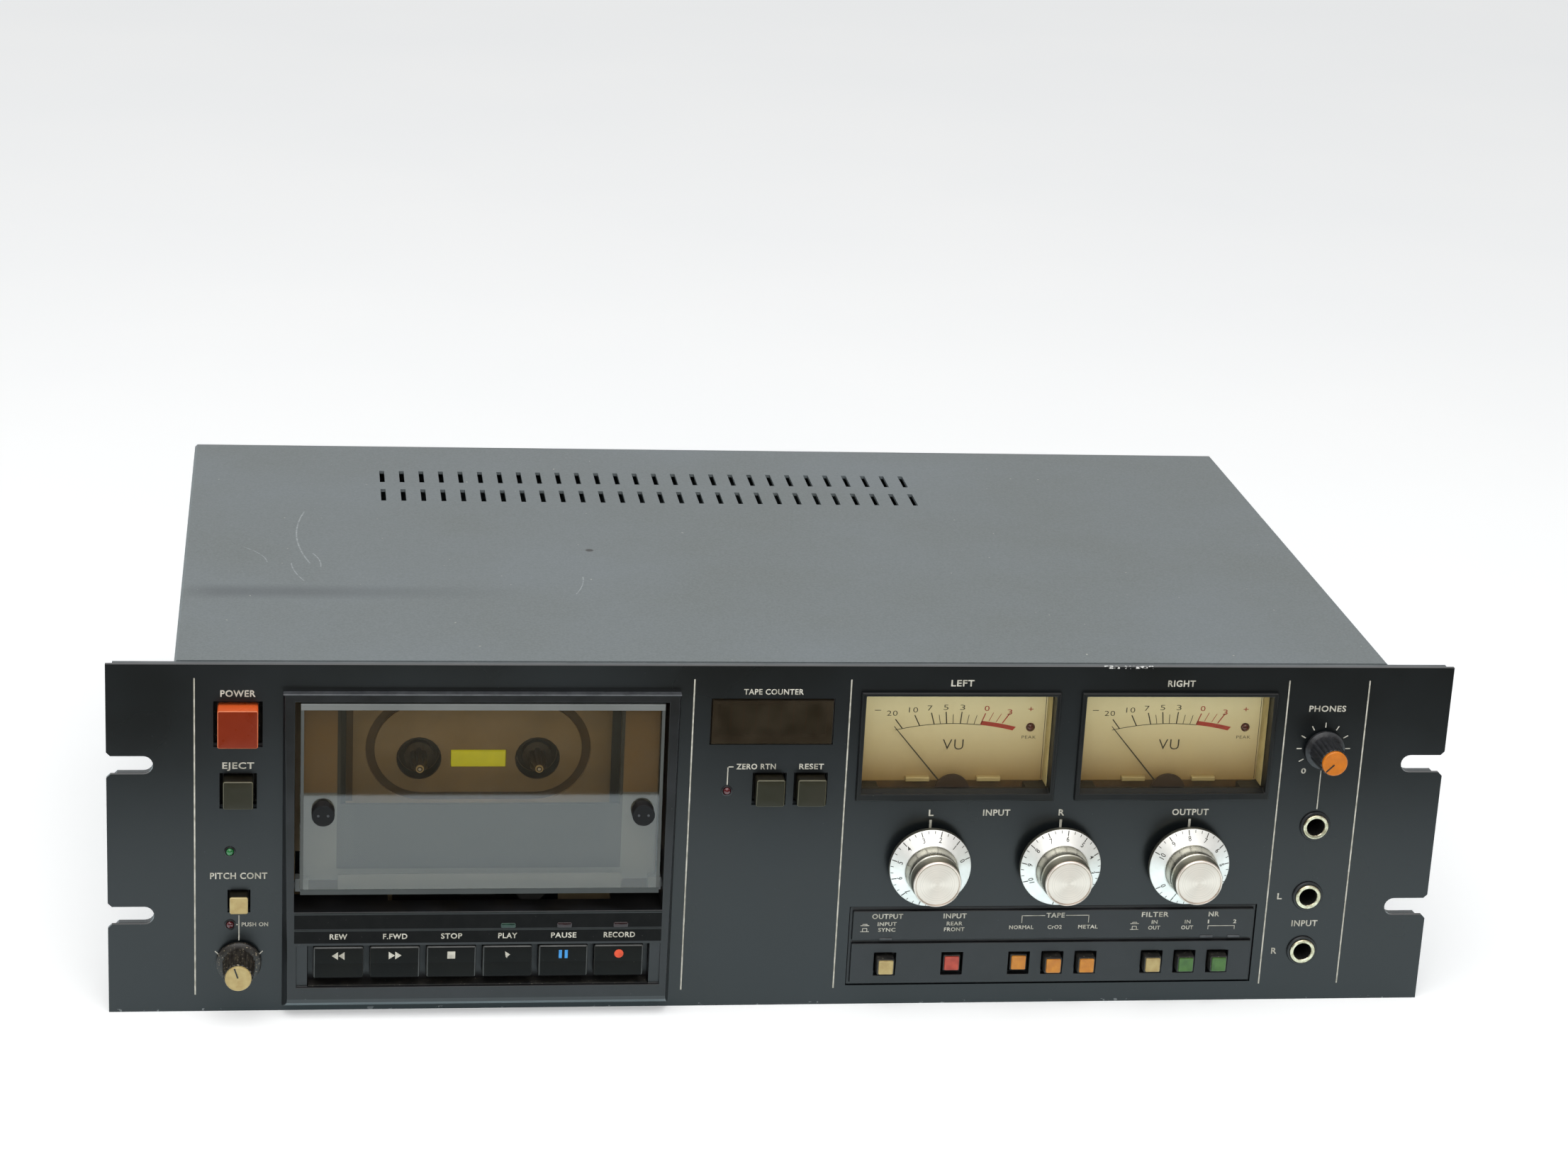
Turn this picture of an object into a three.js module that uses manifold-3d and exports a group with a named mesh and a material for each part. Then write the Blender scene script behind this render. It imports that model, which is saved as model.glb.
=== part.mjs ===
// A rack-mount cassette deck: 19-inch panel, cassette bay with a tilting door, transport keys,
// two needle meters, level knobs, small latching keys and the tape transport behind the bay.
// Millimetres, +Z up, the front faces -Y. Places are given in panel coordinates: x = 0 at the
// panel's middle, y = 0 at the panel's front face, z = 0 at half the panel's height.

import * as THREE from "three";
import { mergeVertices } from "three/addons/utils/BufferGeometryUtils.js";
import Module from "manifold-3d";

const wasm = await Module();
wasm.setup();

// Driving dimensions

const GAP = 0.3;
const PANEL_WIDTH = 482.6;
const PANEL_HEIGHT = 132;
const PANEL_THICK = 1.5;
const HALF_HEIGHT = PANEL_HEIGHT / 2;
const SLOT_Z = 28.575;
const SLOT_HEIGHT = 6.8;
const SLOT_END_X = 228.6;
const SLOT_CHAMFER = 1.4;

const FRONT_PLATE_WIDTH = 478;
const FRONT_PLATE_Y0 = PANEL_THICK + GAP;
const FRONT_PLATE_Y1 = FRONT_PLATE_Y0 + 2.4;

const COVER_WIDTH = 436;
const COVER_DEPTH = 266;
const SHEET = 1.2;
const COVER_BEND = 1;
const FLOOR_THICK = 1.5;
const FLANGE_TOP_Z = -50;
const FLOOR_VENTS = { count: 6, firstX: 125, pitch: 12, width: 4, y0: 90, y1: 130 };
const REAR_VENTS = { count: 8, firstX: 60, pitch: 12, width: 4, z0: 20, z1: 44 };
const FACE_POSTS = [[-208, 30], [-208, -10], [-30, -10], [15, -20], [99.7, 8], [179, 8]];
const FACE_POST_RADIUS = 2.2;
const FLOOR_POSTS = [[-180, 100], [-40, 100], [90, 100], [-180, 240], [-40, 240], [90, 240]];
const FLOOR_POST_RADIUS = 3;
const REAR_PANEL_Y = 262.3;
const REAR_PANEL_THICK = 1.5;

const VENT_COUNT = 28;
const VENT_PITCH = 8;
const VENT_WIDTH = 2;
const VENT_LENGTH = 15.5;
const VENT_FIRST_X = -141.5;
const VENT_ROWS_Y = [198.2, 223.2];

const BAY = { x0: -176.3, x1: -45.5, z0: -25, z1: 53.2 };
const BAY_WALL = 2;
const BAY_WALL_END_Y = 21.7;
const BAY_FLOOR_END_Y = 10;
const HEAD_CUT = { x0: -143, x1: -63, y: 4 };
const BEZEL = { x0: -180.5, x1: -41.3, z0: -63.8, z1: 56.1 };
const BEZEL_TOP_REACH = 2.8;
const BEZEL_FOOT_REACH = 7.8;
const BEZEL_FOOT_Z = -58.2;
const BEZEL_FOOT_CURVE = [[0.8, 1.7], [2.3, 3.1], [4.8, 4.5]];
const BEZEL_SIDE_DRAFT = 2;
const WELL = { x0: -171.5, x1: -49.6, z0: -53.7, z1: -37.8 };
const WELL_END_STEP = 3.9;
const WELL_BACK_Y = -1.2;
const KEY_HOLE_MARGIN = 1.4;
const PANEL_BAY_OPENING = { x0: -178.8, x1: -43, z0: -57, z1: 55.6 };

const WINDOW = { x0: -174.5, x1: -46.8, z0: -18.4, z1: 52.4 };
const WINDOW_THICK = 3;
const WINDOW_BEVEL = 1.2;
const WINDOW_FOOT_Y = -6.3;
const WINDOW_HEAD_Y = -2.9;
const HINGE_Y = 0;
const HINGE_Z = -17;
const HINGE_PIN_RADIUS = 1.6;
const POCKET = { x0: -161.5, x1: -60.5, z0: -11.6, z1: 49.5 };
const HOLDER_FRONT_Y = 1.5;
const HOLDER_BACK_Y = 17.2;
const HOLDER_SHEET = 1.5;
const HOLDER_PLATE_TOP = 13;
const HOLDER_WALL = 1.8;
const HOLDER_LIP = 5;
const HOLDER_LEDGE = 15;
const DOOR_SCREWS = [[-166.4, 10], [-53.8, 9.7]];

const TRANSPORT_Y = 22;
const TRANSPORT_THICK = 2;
const TRANSPORT_Z0 = -63.9;
const TRANSPORT_Z1 = 58;
const OVAL_GROOVE = { halfWidth: 40.4, z0: 6, z1: 46, radius: 20, width: 3.2, depth: 1 };
const LIGHT_SLOT_WIDTH = 20;
const LIGHT_SLOT_HEIGHT = 6.6;
const HEAD_SLOT = { x0: -129, x1: -93, z0: -47, z1: -26.5 };
const HUB_MIDDLE_X = -111;
const HUB_SPACING = 42.5;
const HUB_Z = 22.3;
const SPINDLE_TIP_Y = 11.4;
const WELL_CUP_RADIUS = 8.1;
const WELL_CUP_WALL = 1.2;
const WELL_CUP_DEPTH = 4.3;
const CAPSTAN_X = -90;
const CAPSTAN_Z = -5.2;
const CAPSTAN_TIP_Y = 5;
const CAPSTAN_RADIUS = 1.25;
const FLYWHEEL_RADIUS = 28;
const FLYWHEEL_Y0 = 38;
const FLYWHEEL_Y1 = 46;
const BELT_Y0 = 41.5;
const BELT_Y1 = 44.5;
const MOTOR_X = -150;
const MOTOR_Z = -6;
const MOTOR_RADIUS = 15;
const MOTOR_LENGTH = 27.5;
const PULLEY_RADIUS = 6;
const BELT_THICK = 1;
const ROLLER_RADIUS = 6;
const ARM_PIVOT_X = -70;
const ARM_PIVOT_Z = -22;
const ROLLER_REST_X = -92;
const ROLLER_REST_Z = -20.9;
const TAPE_Y = 9.3;

const TRANSPORT_KEY_PITCH = 20;
const TRANSPORT_KEY_FIRST_X = -160.6;
const TRANSPORT_KEY_WIDTH = 17.7;
const TRANSPORT_KEY_FRONT_Y = -7.5;
const TRANSPORT_KEY_Z0 = -50.4;
const TRANSPORT_KEY_Z1 = -38.1;
const TRANSPORT_KEY_TRAVEL = 2;

const METER_MIDDLES_X = [59.6, 139.9];
const METER_WIDTH = 73;
const METER_Z0 = 14.5;
const METER_Z1 = 56.6;
const METER_PIVOT_Z = 13.4;
const METER_DIAL_Y = 11;
const METER_BACK_Y = 23;
const METER_WELL_Y = 4.6;
const METER_WELL_Z = 8.6;
const METER_NEEDLE_LENGTH = 34.5;
const METER_REST_DEGREES = 40;
const METER_WINDOW_Y0 = 2.4;
const METER_WINDOW_Y1 = 3.9;
const METER_NEEDLE_Y = 8.6;
const PIVOT_COVER_RADIUS = 6.6;

const COUNTER = { x0: -30.2, x1: 13.6, z0: 36.5, z1: 53.4 };
const ESCUTCHEON = { x0: 23.8, x1: 176.4, z0: -58.5, z1: -27.2 };
const SMALL_KEY_FIRST_X = 37.8;
const SMALL_KEY_GRID = 12.5;
const SMALL_KEY_Z = -49.65;
const SMALL_KEY_WIDTH = 8;
const SMALL_KEY_HEIGHT = 9;
const SMALL_KEY_TRAVEL = 3.2;
const SMALL_KEY_FRONT_Y = -4.5;
const SMALL_KEY_CAP = 6.4;

const LEVEL_KNOB_X = [51.4, 99.5, 147.6];
const LEVEL_KNOB_Z = -9.5;
const LEVEL_KNOB_REACH = 21;
const SKIRT_RADIUS = 15;
const SHAFT_RADIUS = 3;
const PITCH_KNOB = { x: -195.6, z: -46.4, collar: 8 };
const PHONES_KNOB = { x: 195.2, z: 34.6, collar: 7 };
const SMALL_KNOB_REACH = 15.5;

const JACK_X = 195.2;
const JACKS_Z = [4, -24, -46];
const JACK_BORE_RADIUS = 3.3;
const JACK_BUSH_RADIUS = 4.7;

const BOARD_Y0 = 14;
const BOARD_THICK = 1.6;
const SWITCH_BODY = 7;
const POT_RADIUS = 8;
const MAIN_BOARD = { x0: -190, x1: 100, y0: 85, y1: 248, z: -54 };
const TRANSFORMER_X = 160;
const TRANSFORMER_Y = 185;
const LAMP_HOLE_RADIUS = 1.6;
const LAMP_HOLES = [[-198.8, -4.2], [-198.7, -32.3], [-23.4, 18.5]];

const PHONO_X = -130;
const PHONO_Z = 12;
const PHONO_PITCH = 14;
const PHONO_TIP_Y = 275;
const INLET_X = 165;
const INLET_Z = -30;

// Main board parts: capacitors as x, y, radius, height; blocks as x, y, width, depth, height

const CAPACITORS = [[70, 220, 11, 40], [44, 220, 11, 40], [70, 190, 8, 26], [48, 192, 8, 26], [20, 228, 6, 18]];
const BOARD_BLOCKS = [
  [-120, 230, 60, 4, 28], [-160, 120, 30, 9, 5], [-110, 120, 24, 9, 5], [-60, 120, 30, 9, 5], [-160, 160, 24, 9, 5],
  [-100, 165, 40, 14, 8], [-30, 150, 20, 9, 5], [30, 120, 44, 10, 9], [-20, 195, 30, 30, 14],
];

// Push buttons: place, cap size, opening size, reach in front of the panel, travel

const BUTTONS = {
  power_button: { x: -196, z: 43.9, cap: 14, open: [17, 17], reach: 5.7, travel: 3.2 },
  eject_button: { x: -195.9, z: 18.9, cap: 10.4, open: [12.9, 13.4], reach: 4.8, travel: 3 },
  pitch_button: { x: -195.6, z: -23.2, cap: 6.4, open: [8, 8.7], reach: 4.5, travel: 3 },
  zero_return_button: { x: -8.2, z: 19.2, cap: 10.2, open: [12.2, 12.4], reach: 4.7, travel: 3 },
  reset_button: { x: 6.7, z: 19.2, cap: 10.2, open: [12.2, 12.4], reach: 4.7, travel: 3 },
};

// Small latching keys: grid step from the first, and whether the key is pressed in at rest

const SMALL_KEYS = {
  output_select_key: { step: 0, pressed: false, color: 0xc8b27a },
  input_select_key: { step: 2, pressed: true, color: 0xcf4a3c },
  tape_normal_key: { step: 4, pressed: true, color: 0xd98a3a },
  tape_chrome_key: { step: 5, pressed: false, color: 0xd98a3a },
  tape_metal_key: { step: 6, pressed: false, color: 0xd98a3a },
  filter_key: { step: 8, pressed: false, color: 0xc8b27a },
  noise_reduction_key: { step: 9, pressed: false, color: 0x4f7f3c },
  noise_type_key: { step: 10, pressed: false, color: 0x4f7f3c },
};

const TRANSPORT_KEYS = ["rewind_key", "fast_forward_key", "stop_key", "play_key", "pause_key", "record_key"];

// Geometry helpers

// Merges equal corners, drops triangles without area and turns an inside-out mesh round.
function closedMesh(geometry) {
  const bare = geometry.clone();
  bare.deleteAttribute("normal");
  bare.deleteAttribute("uv");
  const merged = mergeVertices(bare, 1e-4);
  const corners = Float32Array.from(merged.attributes.position.array);
  const source = merged.index.array;
  const triangles = [];
  for (let i = 0; i < source.length; i += 3) {
    const [a, b, c] = [source[i], source[i + 1], source[i + 2]];
    if (a !== b && b !== c && c !== a) triangles.push(a, b, c);
  }
  const point = (i) => new THREE.Vector3().fromArray(corners, 3 * i);
  let volume = 0;
  for (let i = 0; i < triangles.length; i += 3) {
    const [a, b, c] = triangles.slice(i, i + 3).map(point);
    volume += a.dot(b.cross(c)) / 6;
  }
  if (volume < 0) triangles.reverse();
  return { corners, triangles: Uint32Array.from(triangles) };
}

function solid(geometry) {
  const { corners, triangles } = closedMesh(geometry);
  return new wasm.Manifold(new wasm.Mesh({ numProp: 3, vertProperties: corners, triVerts: triangles }));
}

function geometryOf(body) {
  const mesh = body.getMesh();
  const geometry = new THREE.BufferGeometry();
  geometry.setAttribute("position", new THREE.BufferAttribute(Float32Array.from(mesh.vertProperties), 3));
  geometry.setIndex(new THREE.BufferAttribute(Uint32Array.from(mesh.triVerts), 1));
  const flat = geometry.toNonIndexed();
  flat.computeVertexNormals();
  return flat;
}

function join(...bodies) {
  return bodies.reduce((all, body) => all.add(body));
}

function cut(base, ...tools) {
  return tools.reduce((rest, tool) => rest.subtract(tool), base);
}

function block(x0, x1, y0, y1, z0, z1) {
  const geometry = new THREE.BoxGeometry(x1 - x0, y1 - y0, z1 - z0);
  geometry.translate((x0 + x1) / 2, (y0 + y1) / 2, (z0 + z1) / 2);
  return solid(geometry);
}

// A block whose front face is smaller than its back face by the same inset on all four sides.
function wedge(x0, x1, y0, y1, z0, z1, inset) {
  const geometry = new THREE.BoxGeometry(1, 1, 1);
  const place = geometry.attributes.position;
  for (let i = 0; i < place.count; i += 1) {
    const inward = place.getY(i) < 0 ? inset : 0;
    const x = place.getX(i) < 0 ? x0 + inward : x1 - inward;
    const z = place.getZ(i) < 0 ? z0 + inward : z1 - inward;
    place.setXYZ(i, x, place.getY(i) < 0 ? y0 : y1, z);
  }
  return solid(geometry);
}

// An outline in the x-z plane, made solid from y0 to y1.
function plate(outline, y0, y1, curveSegments = 8) {
  const settings = { depth: y1 - y0, bevelEnabled: false, curveSegments };
  const geometry = new THREE.ExtrudeGeometry(outline, settings);
  geometry.rotateX(Math.PI / 2);
  geometry.translate(0, y1, 0);
  return solid(geometry);
}

// An outline in the y-z plane, made solid from x0 to x1.
function bar(points, x0, x1) {
  const outline = new THREE.Shape(points.map(([y, z]) => new THREE.Vector2(y, z)));
  const geometry = new THREE.ExtrudeGeometry(outline, { depth: x1 - x0, bevelEnabled: false });
  geometry.rotateX(Math.PI / 2);
  geometry.rotateZ(Math.PI / 2);
  geometry.translate(x0, 0, 0);
  return solid(geometry);
}

function roundedRectangle(x0, x1, z0, z1, r) {
  const outline = new THREE.Shape();
  outline.absarc(x1 - r, z0 + r, r, -Math.PI / 2, 0);
  outline.absarc(x1 - r, z1 - r, r, 0, Math.PI / 2);
  outline.absarc(x0 + r, z1 - r, r, Math.PI / 2, Math.PI);
  outline.absarc(x0 + r, z0 + r, r, Math.PI, 1.5 * Math.PI);
  return outline;
}

// A profile of [radius, y] pairs turned about the y axis through x, z.
function turned(profile, x, z, segments = 24) {
  const geometry = new THREE.LatheGeometry(profile.map(([r, y]) => new THREE.Vector2(r, y)), segments);
  geometry.translate(x, 0, z);
  return solid(geometry);
}

function rod(radius, y0, y1, x, z, segments = 16) {
  return turned([[0, y0], [radius, y0], [radius, y1], [0, y1]], x, z, segments);
}

// A round bar along x.
function crossRod(radius, x0, x1, y, z, segments = 12) {
  const geometry = new THREE.CylinderGeometry(radius, radius, x1 - x0, segments);
  geometry.rotateZ(Math.PI / 2);
  geometry.translate((x0 + x1) / 2, y, z);
  return solid(geometry);
}

// An outline in the x-y plane, made solid from z0 to z1.
function column(points, z0, z1) {
  const outline = new THREE.Shape(points.map(([x, y]) => new THREE.Vector2(x, y)));
  const geometry = new THREE.ExtrudeGeometry(outline, { depth: z1 - z0, bevelEnabled: false });
  geometry.translate(0, 0, z0);
  return solid(geometry);
}

// A round bar that stands up along z.
function upright(radius, z0, z1, x, y, segments = 16) {
  const geometry = new THREE.CylinderGeometry(radius, radius, z1 - z0, segments);
  geometry.rotateX(Math.PI / 2);
  geometry.translate(x, y, (z0 + z1) / 2);
  return solid(geometry);
}

// Group and placing

const deck = new THREE.Group();
const panelFrame = new THREE.Group();
panelFrame.position.set(0, (LEVEL_KNOB_REACH - PHONO_TIP_Y) / 2, HALF_HEIGHT);
deck.add(panelFrame);

const FINISHES = {
  blackPaint: { color: 0x1d1f20, roughness: 0.55, metalness: 0.1 },
  greyPaint: { color: 0x6f7476, roughness: 0.5, metalness: 0.3 },
  coverPaint: { color: 0x5c6264, roughness: 0.6, metalness: 0.1 },
  blackPlastic: { color: 0x17181a, roughness: 0.5, metalness: 0 },
  smoked: { color: 0x4a3f30, roughness: 0.1, metalness: 0 },
  clear: { color: 0xd8d2b8, roughness: 0.05, metalness: 0 },
  steel: { color: 0xa8a8a6, roughness: 0.35, metalness: 0.9 },
  aluminium: { color: 0xd4d4d0, roughness: 0.25, metalness: 0.9 },
  dial: { color: 0xd6cca0, roughness: 0.7, metalness: 0 },
  board: { color: 0x2f5a36, roughness: 0.6, metalness: 0 },
  rubber: { color: 0x202020, roughness: 0.9, metalness: 0 },
  redCap: { color: 0xcf4a2c, roughness: 0.4, metalness: 0 },
  olive: { color: 0x3c3b30, roughness: 0.4, metalness: 0.2 },
  cream: { color: 0xc8b27a, roughness: 0.45, metalness: 0 },
  nickel: { color: 0xc8c2b0, roughness: 0.3, metalness: 0.9 },
};

function addPiece(name, body, finish) {
  const mesh = new THREE.Mesh(geometryOf(body), new THREE.MeshStandardMaterial(finish));
  mesh.name = name;
  panelFrame.add(mesh);
  return mesh;
}

// Panel with its rack slots and openings

function rackSlots(y0, y1, halfWidth) {
  const slots = [];
  for (const side of [-1, 1]) {
    for (const z of [-SLOT_Z, SLOT_Z]) {
      const r = SLOT_HEIGHT / 2;
      const inner = SLOT_END_X;
      const mouth = halfWidth - SLOT_CHAMFER;
      const edge = side * (halfWidth + 0.1);
      const outside = side * (halfWidth + 2);
      const flare = side * (r + SLOT_CHAMFER + 0.1);
      const start = side > 0 ? Math.PI / 2 : -Math.PI / 2;
      const outline = new THREE.Shape();
      outline.absarc(side * inner, z, r, start, start + Math.PI);
      outline.lineTo(side * mouth, z - side * r);
      outline.lineTo(edge, z - flare);
      outline.lineTo(outside, z - flare);
      outline.lineTo(outside, z + flare);
      outline.lineTo(edge, z + flare);
      outline.lineTo(side * mouth, z + side * r);
      slots.push(plate(outline, y0 - 1, y1 + 1, 5));
    }
  }
  return slots;
}

function opening(x0, x1, z0, z1, y0, y1) {
  return block(x0, x1, y0 - 1, y1 + 1, z0, z1);
}

function transportKeyX(i) {
  return TRANSPORT_KEY_FIRST_X + TRANSPORT_KEY_PITCH * i;
}

function smallKeyX(key) {
  return SMALL_KEY_FIRST_X + SMALL_KEY_GRID * key.step;
}

// Openings that the faceplate and the steel plate behind it share.
function sharedOpenings(y0, y1) {
  const tools = rackSlots(y0, y1, y0 < PANEL_THICK ? PANEL_WIDTH / 2 : FRONT_PLATE_WIDTH / 2);
  for (const button of Object.values(BUTTONS)) {
    const [w, h] = button.open;
    tools.push(opening(button.x - w / 2, button.x + w / 2, button.z - h / 2, button.z + h / 2, y0, y1));
  }
  const bay = PANEL_BAY_OPENING;
  tools.push(opening(bay.x0, bay.x1, bay.z0, bay.z1, y0, y1));
  for (const x of METER_MIDDLES_X) {
    tools.push(opening(x - 35.7, x + 35.7, METER_Z0 + 1.8, METER_Z1 - 0.5, y0, y1));
  }
  for (const z of JACKS_Z) tools.push(rod(JACK_BUSH_RADIUS + GAP, y0 - 1, y1 + 1, JACK_X, z, 14));
  for (const x of LEVEL_KNOB_X) tools.push(rod(SHAFT_RADIUS + 0.8, y0 - 1, y1 + 1, x, LEVEL_KNOB_Z, 12));
  for (const knob of [PITCH_KNOB, PHONES_KNOB]) {
    tools.push(rod(SHAFT_RADIUS + 0.8, y0 - 1, y1 + 1, knob.x, knob.z, 12));
  }
  for (const [x, z] of LAMP_HOLES) tools.push(rod(LAMP_HOLE_RADIUS, y0 - 1, y1 + 1, x, z, 10));
  return tools;
}

function frontPanel() {
  const half = PANEL_WIDTH / 2;
  const sheet = block(-half, half, 0, PANEL_THICK, -HALF_HEIGHT, HALF_HEIGHT);
  const { x0, x1, z0, z1 } = COUNTER;
  const counter = opening(x0 - GAP, x1 + GAP, z0 - GAP, z1 + GAP, 0, PANEL_THICK);
  const strip = opening(ESCUTCHEON.x0, ESCUTCHEON.x1, ESCUTCHEON.z0, ESCUTCHEON.z1, 0, PANEL_THICK);
  return cut(sheet, ...sharedOpenings(0, PANEL_THICK), counter, strip);
}

// Chassis: steel front plate, floor pan with side and rear flanges, board posts

function chassis() {
  const half = FRONT_PLATE_WIDTH / 2;
  const inner = COVER_WIDTH / 2 - SHEET - GAP;
  const floorTop = -HALF_HEIGHT + FLOOR_THICK;
  const y0 = FRONT_PLATE_Y0;
  const y1 = FRONT_PLATE_Y1;
  const backY = REAR_PANEL_Y - GAP;
  const frontPlate = block(-half, half, y0, y1, -HALF_HEIGHT, HALF_HEIGHT - 0.3);
  const floor = block(-inner, inner, y0, backY, -HALF_HEIGHT, floorTop);
  const flanges = [-1, 1].map((side) => {
    const x = side * (inner - FLOOR_THICK / 2);
    return block(x - FLOOR_THICK / 2, x + FLOOR_THICK / 2, y0, backY, -HALF_HEIGHT, FLANGE_TOP_Z);
  });
  const rearFlange = block(-inner, inner, backY - FLOOR_THICK, backY, -HALF_HEIGHT, FLANGE_TOP_Z);
  const keyOpenings = Object.values(SMALL_KEYS).map((key) => {
    const x = smallKeyX(key);
    const halfWidth = SMALL_KEY_WIDTH / 2 + 0.6;
    const halfHeight = SMALL_KEY_HEIGHT / 2 + 0.6;
    return opening(x - halfWidth, x + halfWidth, SMALL_KEY_Z - halfHeight, SMALL_KEY_Z + halfHeight, y0, y1);
  });
  const counter = opening(COUNTER.x0 + 2, COUNTER.x1 - 2, COUNTER.z0 + 2, COUNTER.z1 - 2, y0, y1);
  const facePosts = FACE_POSTS.map(([x, z]) => rod(FACE_POST_RADIUS, y1 - 0.5, BOARD_Y0 - GAP, x, z, 6));
  const floorPosts = FLOOR_POSTS.map(
    ([x, y]) => upright(FLOOR_POST_RADIUS, floorTop - 0.5, MAIN_BOARD.z - GAP, x, y, 6),
  );
  const vents = [];
  for (let i = 0; i < FLOOR_VENTS.count; i += 1) {
    const x = FLOOR_VENTS.firstX + FLOOR_VENTS.pitch * i;
    vents.push(block(x, x + FLOOR_VENTS.width, FLOOR_VENTS.y0, FLOOR_VENTS.y1, -HALF_HEIGHT - 1, floorTop + 1));
  }
  const shell = join(frontPlate, floor, ...flanges, rearFlange);
  const opened = cut(shell, ...sharedOpenings(y0, y1), ...keyOpenings, counter, ...vents);
  return join(opened, ...facePosts, ...floorPosts);
}

function topCover() {
  const half = COVER_WIDTH / 2;
  const bend = COVER_BEND;
  const bottom = -HALF_HEIGHT + FLOOR_THICK + 0.5;
  const outline = new THREE.Shape([
    new THREE.Vector2(-half, bottom), new THREE.Vector2(-half + SHEET, bottom),
    new THREE.Vector2(-half + SHEET, HALF_HEIGHT - SHEET), new THREE.Vector2(half - SHEET, HALF_HEIGHT - SHEET),
    new THREE.Vector2(half - SHEET, bottom), new THREE.Vector2(half, bottom),
    new THREE.Vector2(half, HALF_HEIGHT - bend), new THREE.Vector2(half - bend, HALF_HEIGHT),
    new THREE.Vector2(-half + bend, HALF_HEIGHT), new THREE.Vector2(-half, HALF_HEIGHT - bend),
  ]);
  const vents = [];
  for (const y of VENT_ROWS_Y) {
    for (let i = 0; i < VENT_COUNT; i += 1) {
      const x = VENT_FIRST_X + VENT_PITCH * i;
      vents.push(block(
        x - VENT_WIDTH / 2, x + VENT_WIDTH / 2, y - VENT_LENGTH / 2, y + VENT_LENGTH / 2,
        HALF_HEIGHT - SHEET - 1, HALF_HEIGHT + 1,
      ));
    }
  }
  return cut(plate(outline, FRONT_PLATE_Y1 + GAP, COVER_DEPTH), ...vents);
}

function rearPanel() {
  const half = COVER_WIDTH / 2 - SHEET - 0.5;
  const y1 = REAR_PANEL_Y + REAR_PANEL_THICK;
  const sheet = block(-half, half, REAR_PANEL_Y, y1, -HALF_HEIGHT + 0.2, HALF_HEIGHT - SHEET - 0.5);
  const phono = opening(PHONO_X - 16, PHONO_X + 16, PHONO_Z - 16, PHONO_Z + 16, REAR_PANEL_Y, y1);
  const inlet = opening(INLET_X - 14.2, INLET_X + 14.2, INLET_Z - 10.4, INLET_Z + 10.4, REAR_PANEL_Y, y1);
  const vents = [];
  for (let i = 0; i < REAR_VENTS.count; i += 1) {
    const x = REAR_VENTS.firstX + REAR_VENTS.pitch * i;
    vents.push(opening(x, x + REAR_VENTS.width, REAR_VENTS.z0, REAR_VENTS.z1, REAR_PANEL_Y, y1));
  }
  return cut(sheet, phono, inlet, ...vents);
}

// Cassette surround: its face leans back towards the top and curves under at the foot

function cassetteBezel() {
  const back = -GAP;
  const foot = -BEZEL_FOOT_REACH;
  const side = [
    [back, BEZEL.z1], [-BEZEL_TOP_REACH, BEZEL.z1], [foot, BEZEL_FOOT_Z],
    ...BEZEL_FOOT_CURVE.map(([inward, down]) => [foot + inward, BEZEL_FOOT_Z - down]), [back, BEZEL.z0],
  ];
  const drafted = column([
    [BEZEL.x0, back + 1], [BEZEL.x0, back], [BEZEL.x0 + BEZEL_SIDE_DRAFT, foot],
    [BEZEL.x1 - BEZEL_SIDE_DRAFT, foot], [BEZEL.x1, back], [BEZEL.x1, back + 1],
  ], BEZEL.z0 - 1, BEZEL.z1 + 1);
  const face = bar(side, BEZEL.x0 - 1, BEZEL.x1 + 1).intersect(drafted);
  const wallX0 = BAY.x0 - BAY_WALL;
  const wallX1 = BAY.x1 + BAY_WALL;
  const tube = block(wallX0, wallX1, back - 1, BAY_WALL_END_Y, BAY.z0 - BAY_WALL, BAY.z1 + BAY_WALL);
  const hollow = block(BAY.x0, BAY.x1, -20, BAY_WALL_END_Y + 1, BAY.z0, BAY.z1);
  const cutZ0 = BAY.z0 - BAY_WALL - 1;
  const floorCut = block(wallX0 - 1, wallX1 + 1, BAY_FLOOR_END_Y, BAY_WALL_END_Y + 1, cutZ0, BAY.z0 + 1);
  const headCut = block(HEAD_CUT.x0, HEAD_CUT.x1, HEAD_CUT.y, BAY_WALL_END_Y, cutZ0, BAY.z0 + 1);
  const endSteps = block(WELL.x0 - WELL_END_STEP, WELL.x1 + WELL_END_STEP, -20, foot + 1.4, WELL.z0, WELL.z1);
  const well = block(WELL.x0, WELL.x1, -20, WELL_BACK_Y, WELL.z0, WELL.z1);
  const keyHoles = TRANSPORT_KEYS.map((name, i) => {
    const x = transportKeyX(i);
    const half = TRANSPORT_KEY_WIDTH / 2 - KEY_HOLE_MARGIN;
    return block(x - half, x + half, -4, 2, TRANSPORT_KEY_Z0 + KEY_HOLE_MARGIN, TRANSPORT_KEY_Z1 - KEY_HOLE_MARGIN);
  });
  const pinHoles = [
    crossRod(HINGE_PIN_RADIUS + 0.35, wallX0 - 1, BAY.x0 + 1, HINGE_Y, HINGE_Z),
    crossRod(HINGE_PIN_RADIUS + 0.35, BAY.x1 - 1, wallX1 + 1, HINGE_Y, HINGE_Z),
  ];
  return cut(join(face, tube), hollow, floorCut, headCut, endSteps, well, ...keyHoles, ...pinHoles);
}

// Door: smoked pane that leans like the surround, and the cassette holder behind it

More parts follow.
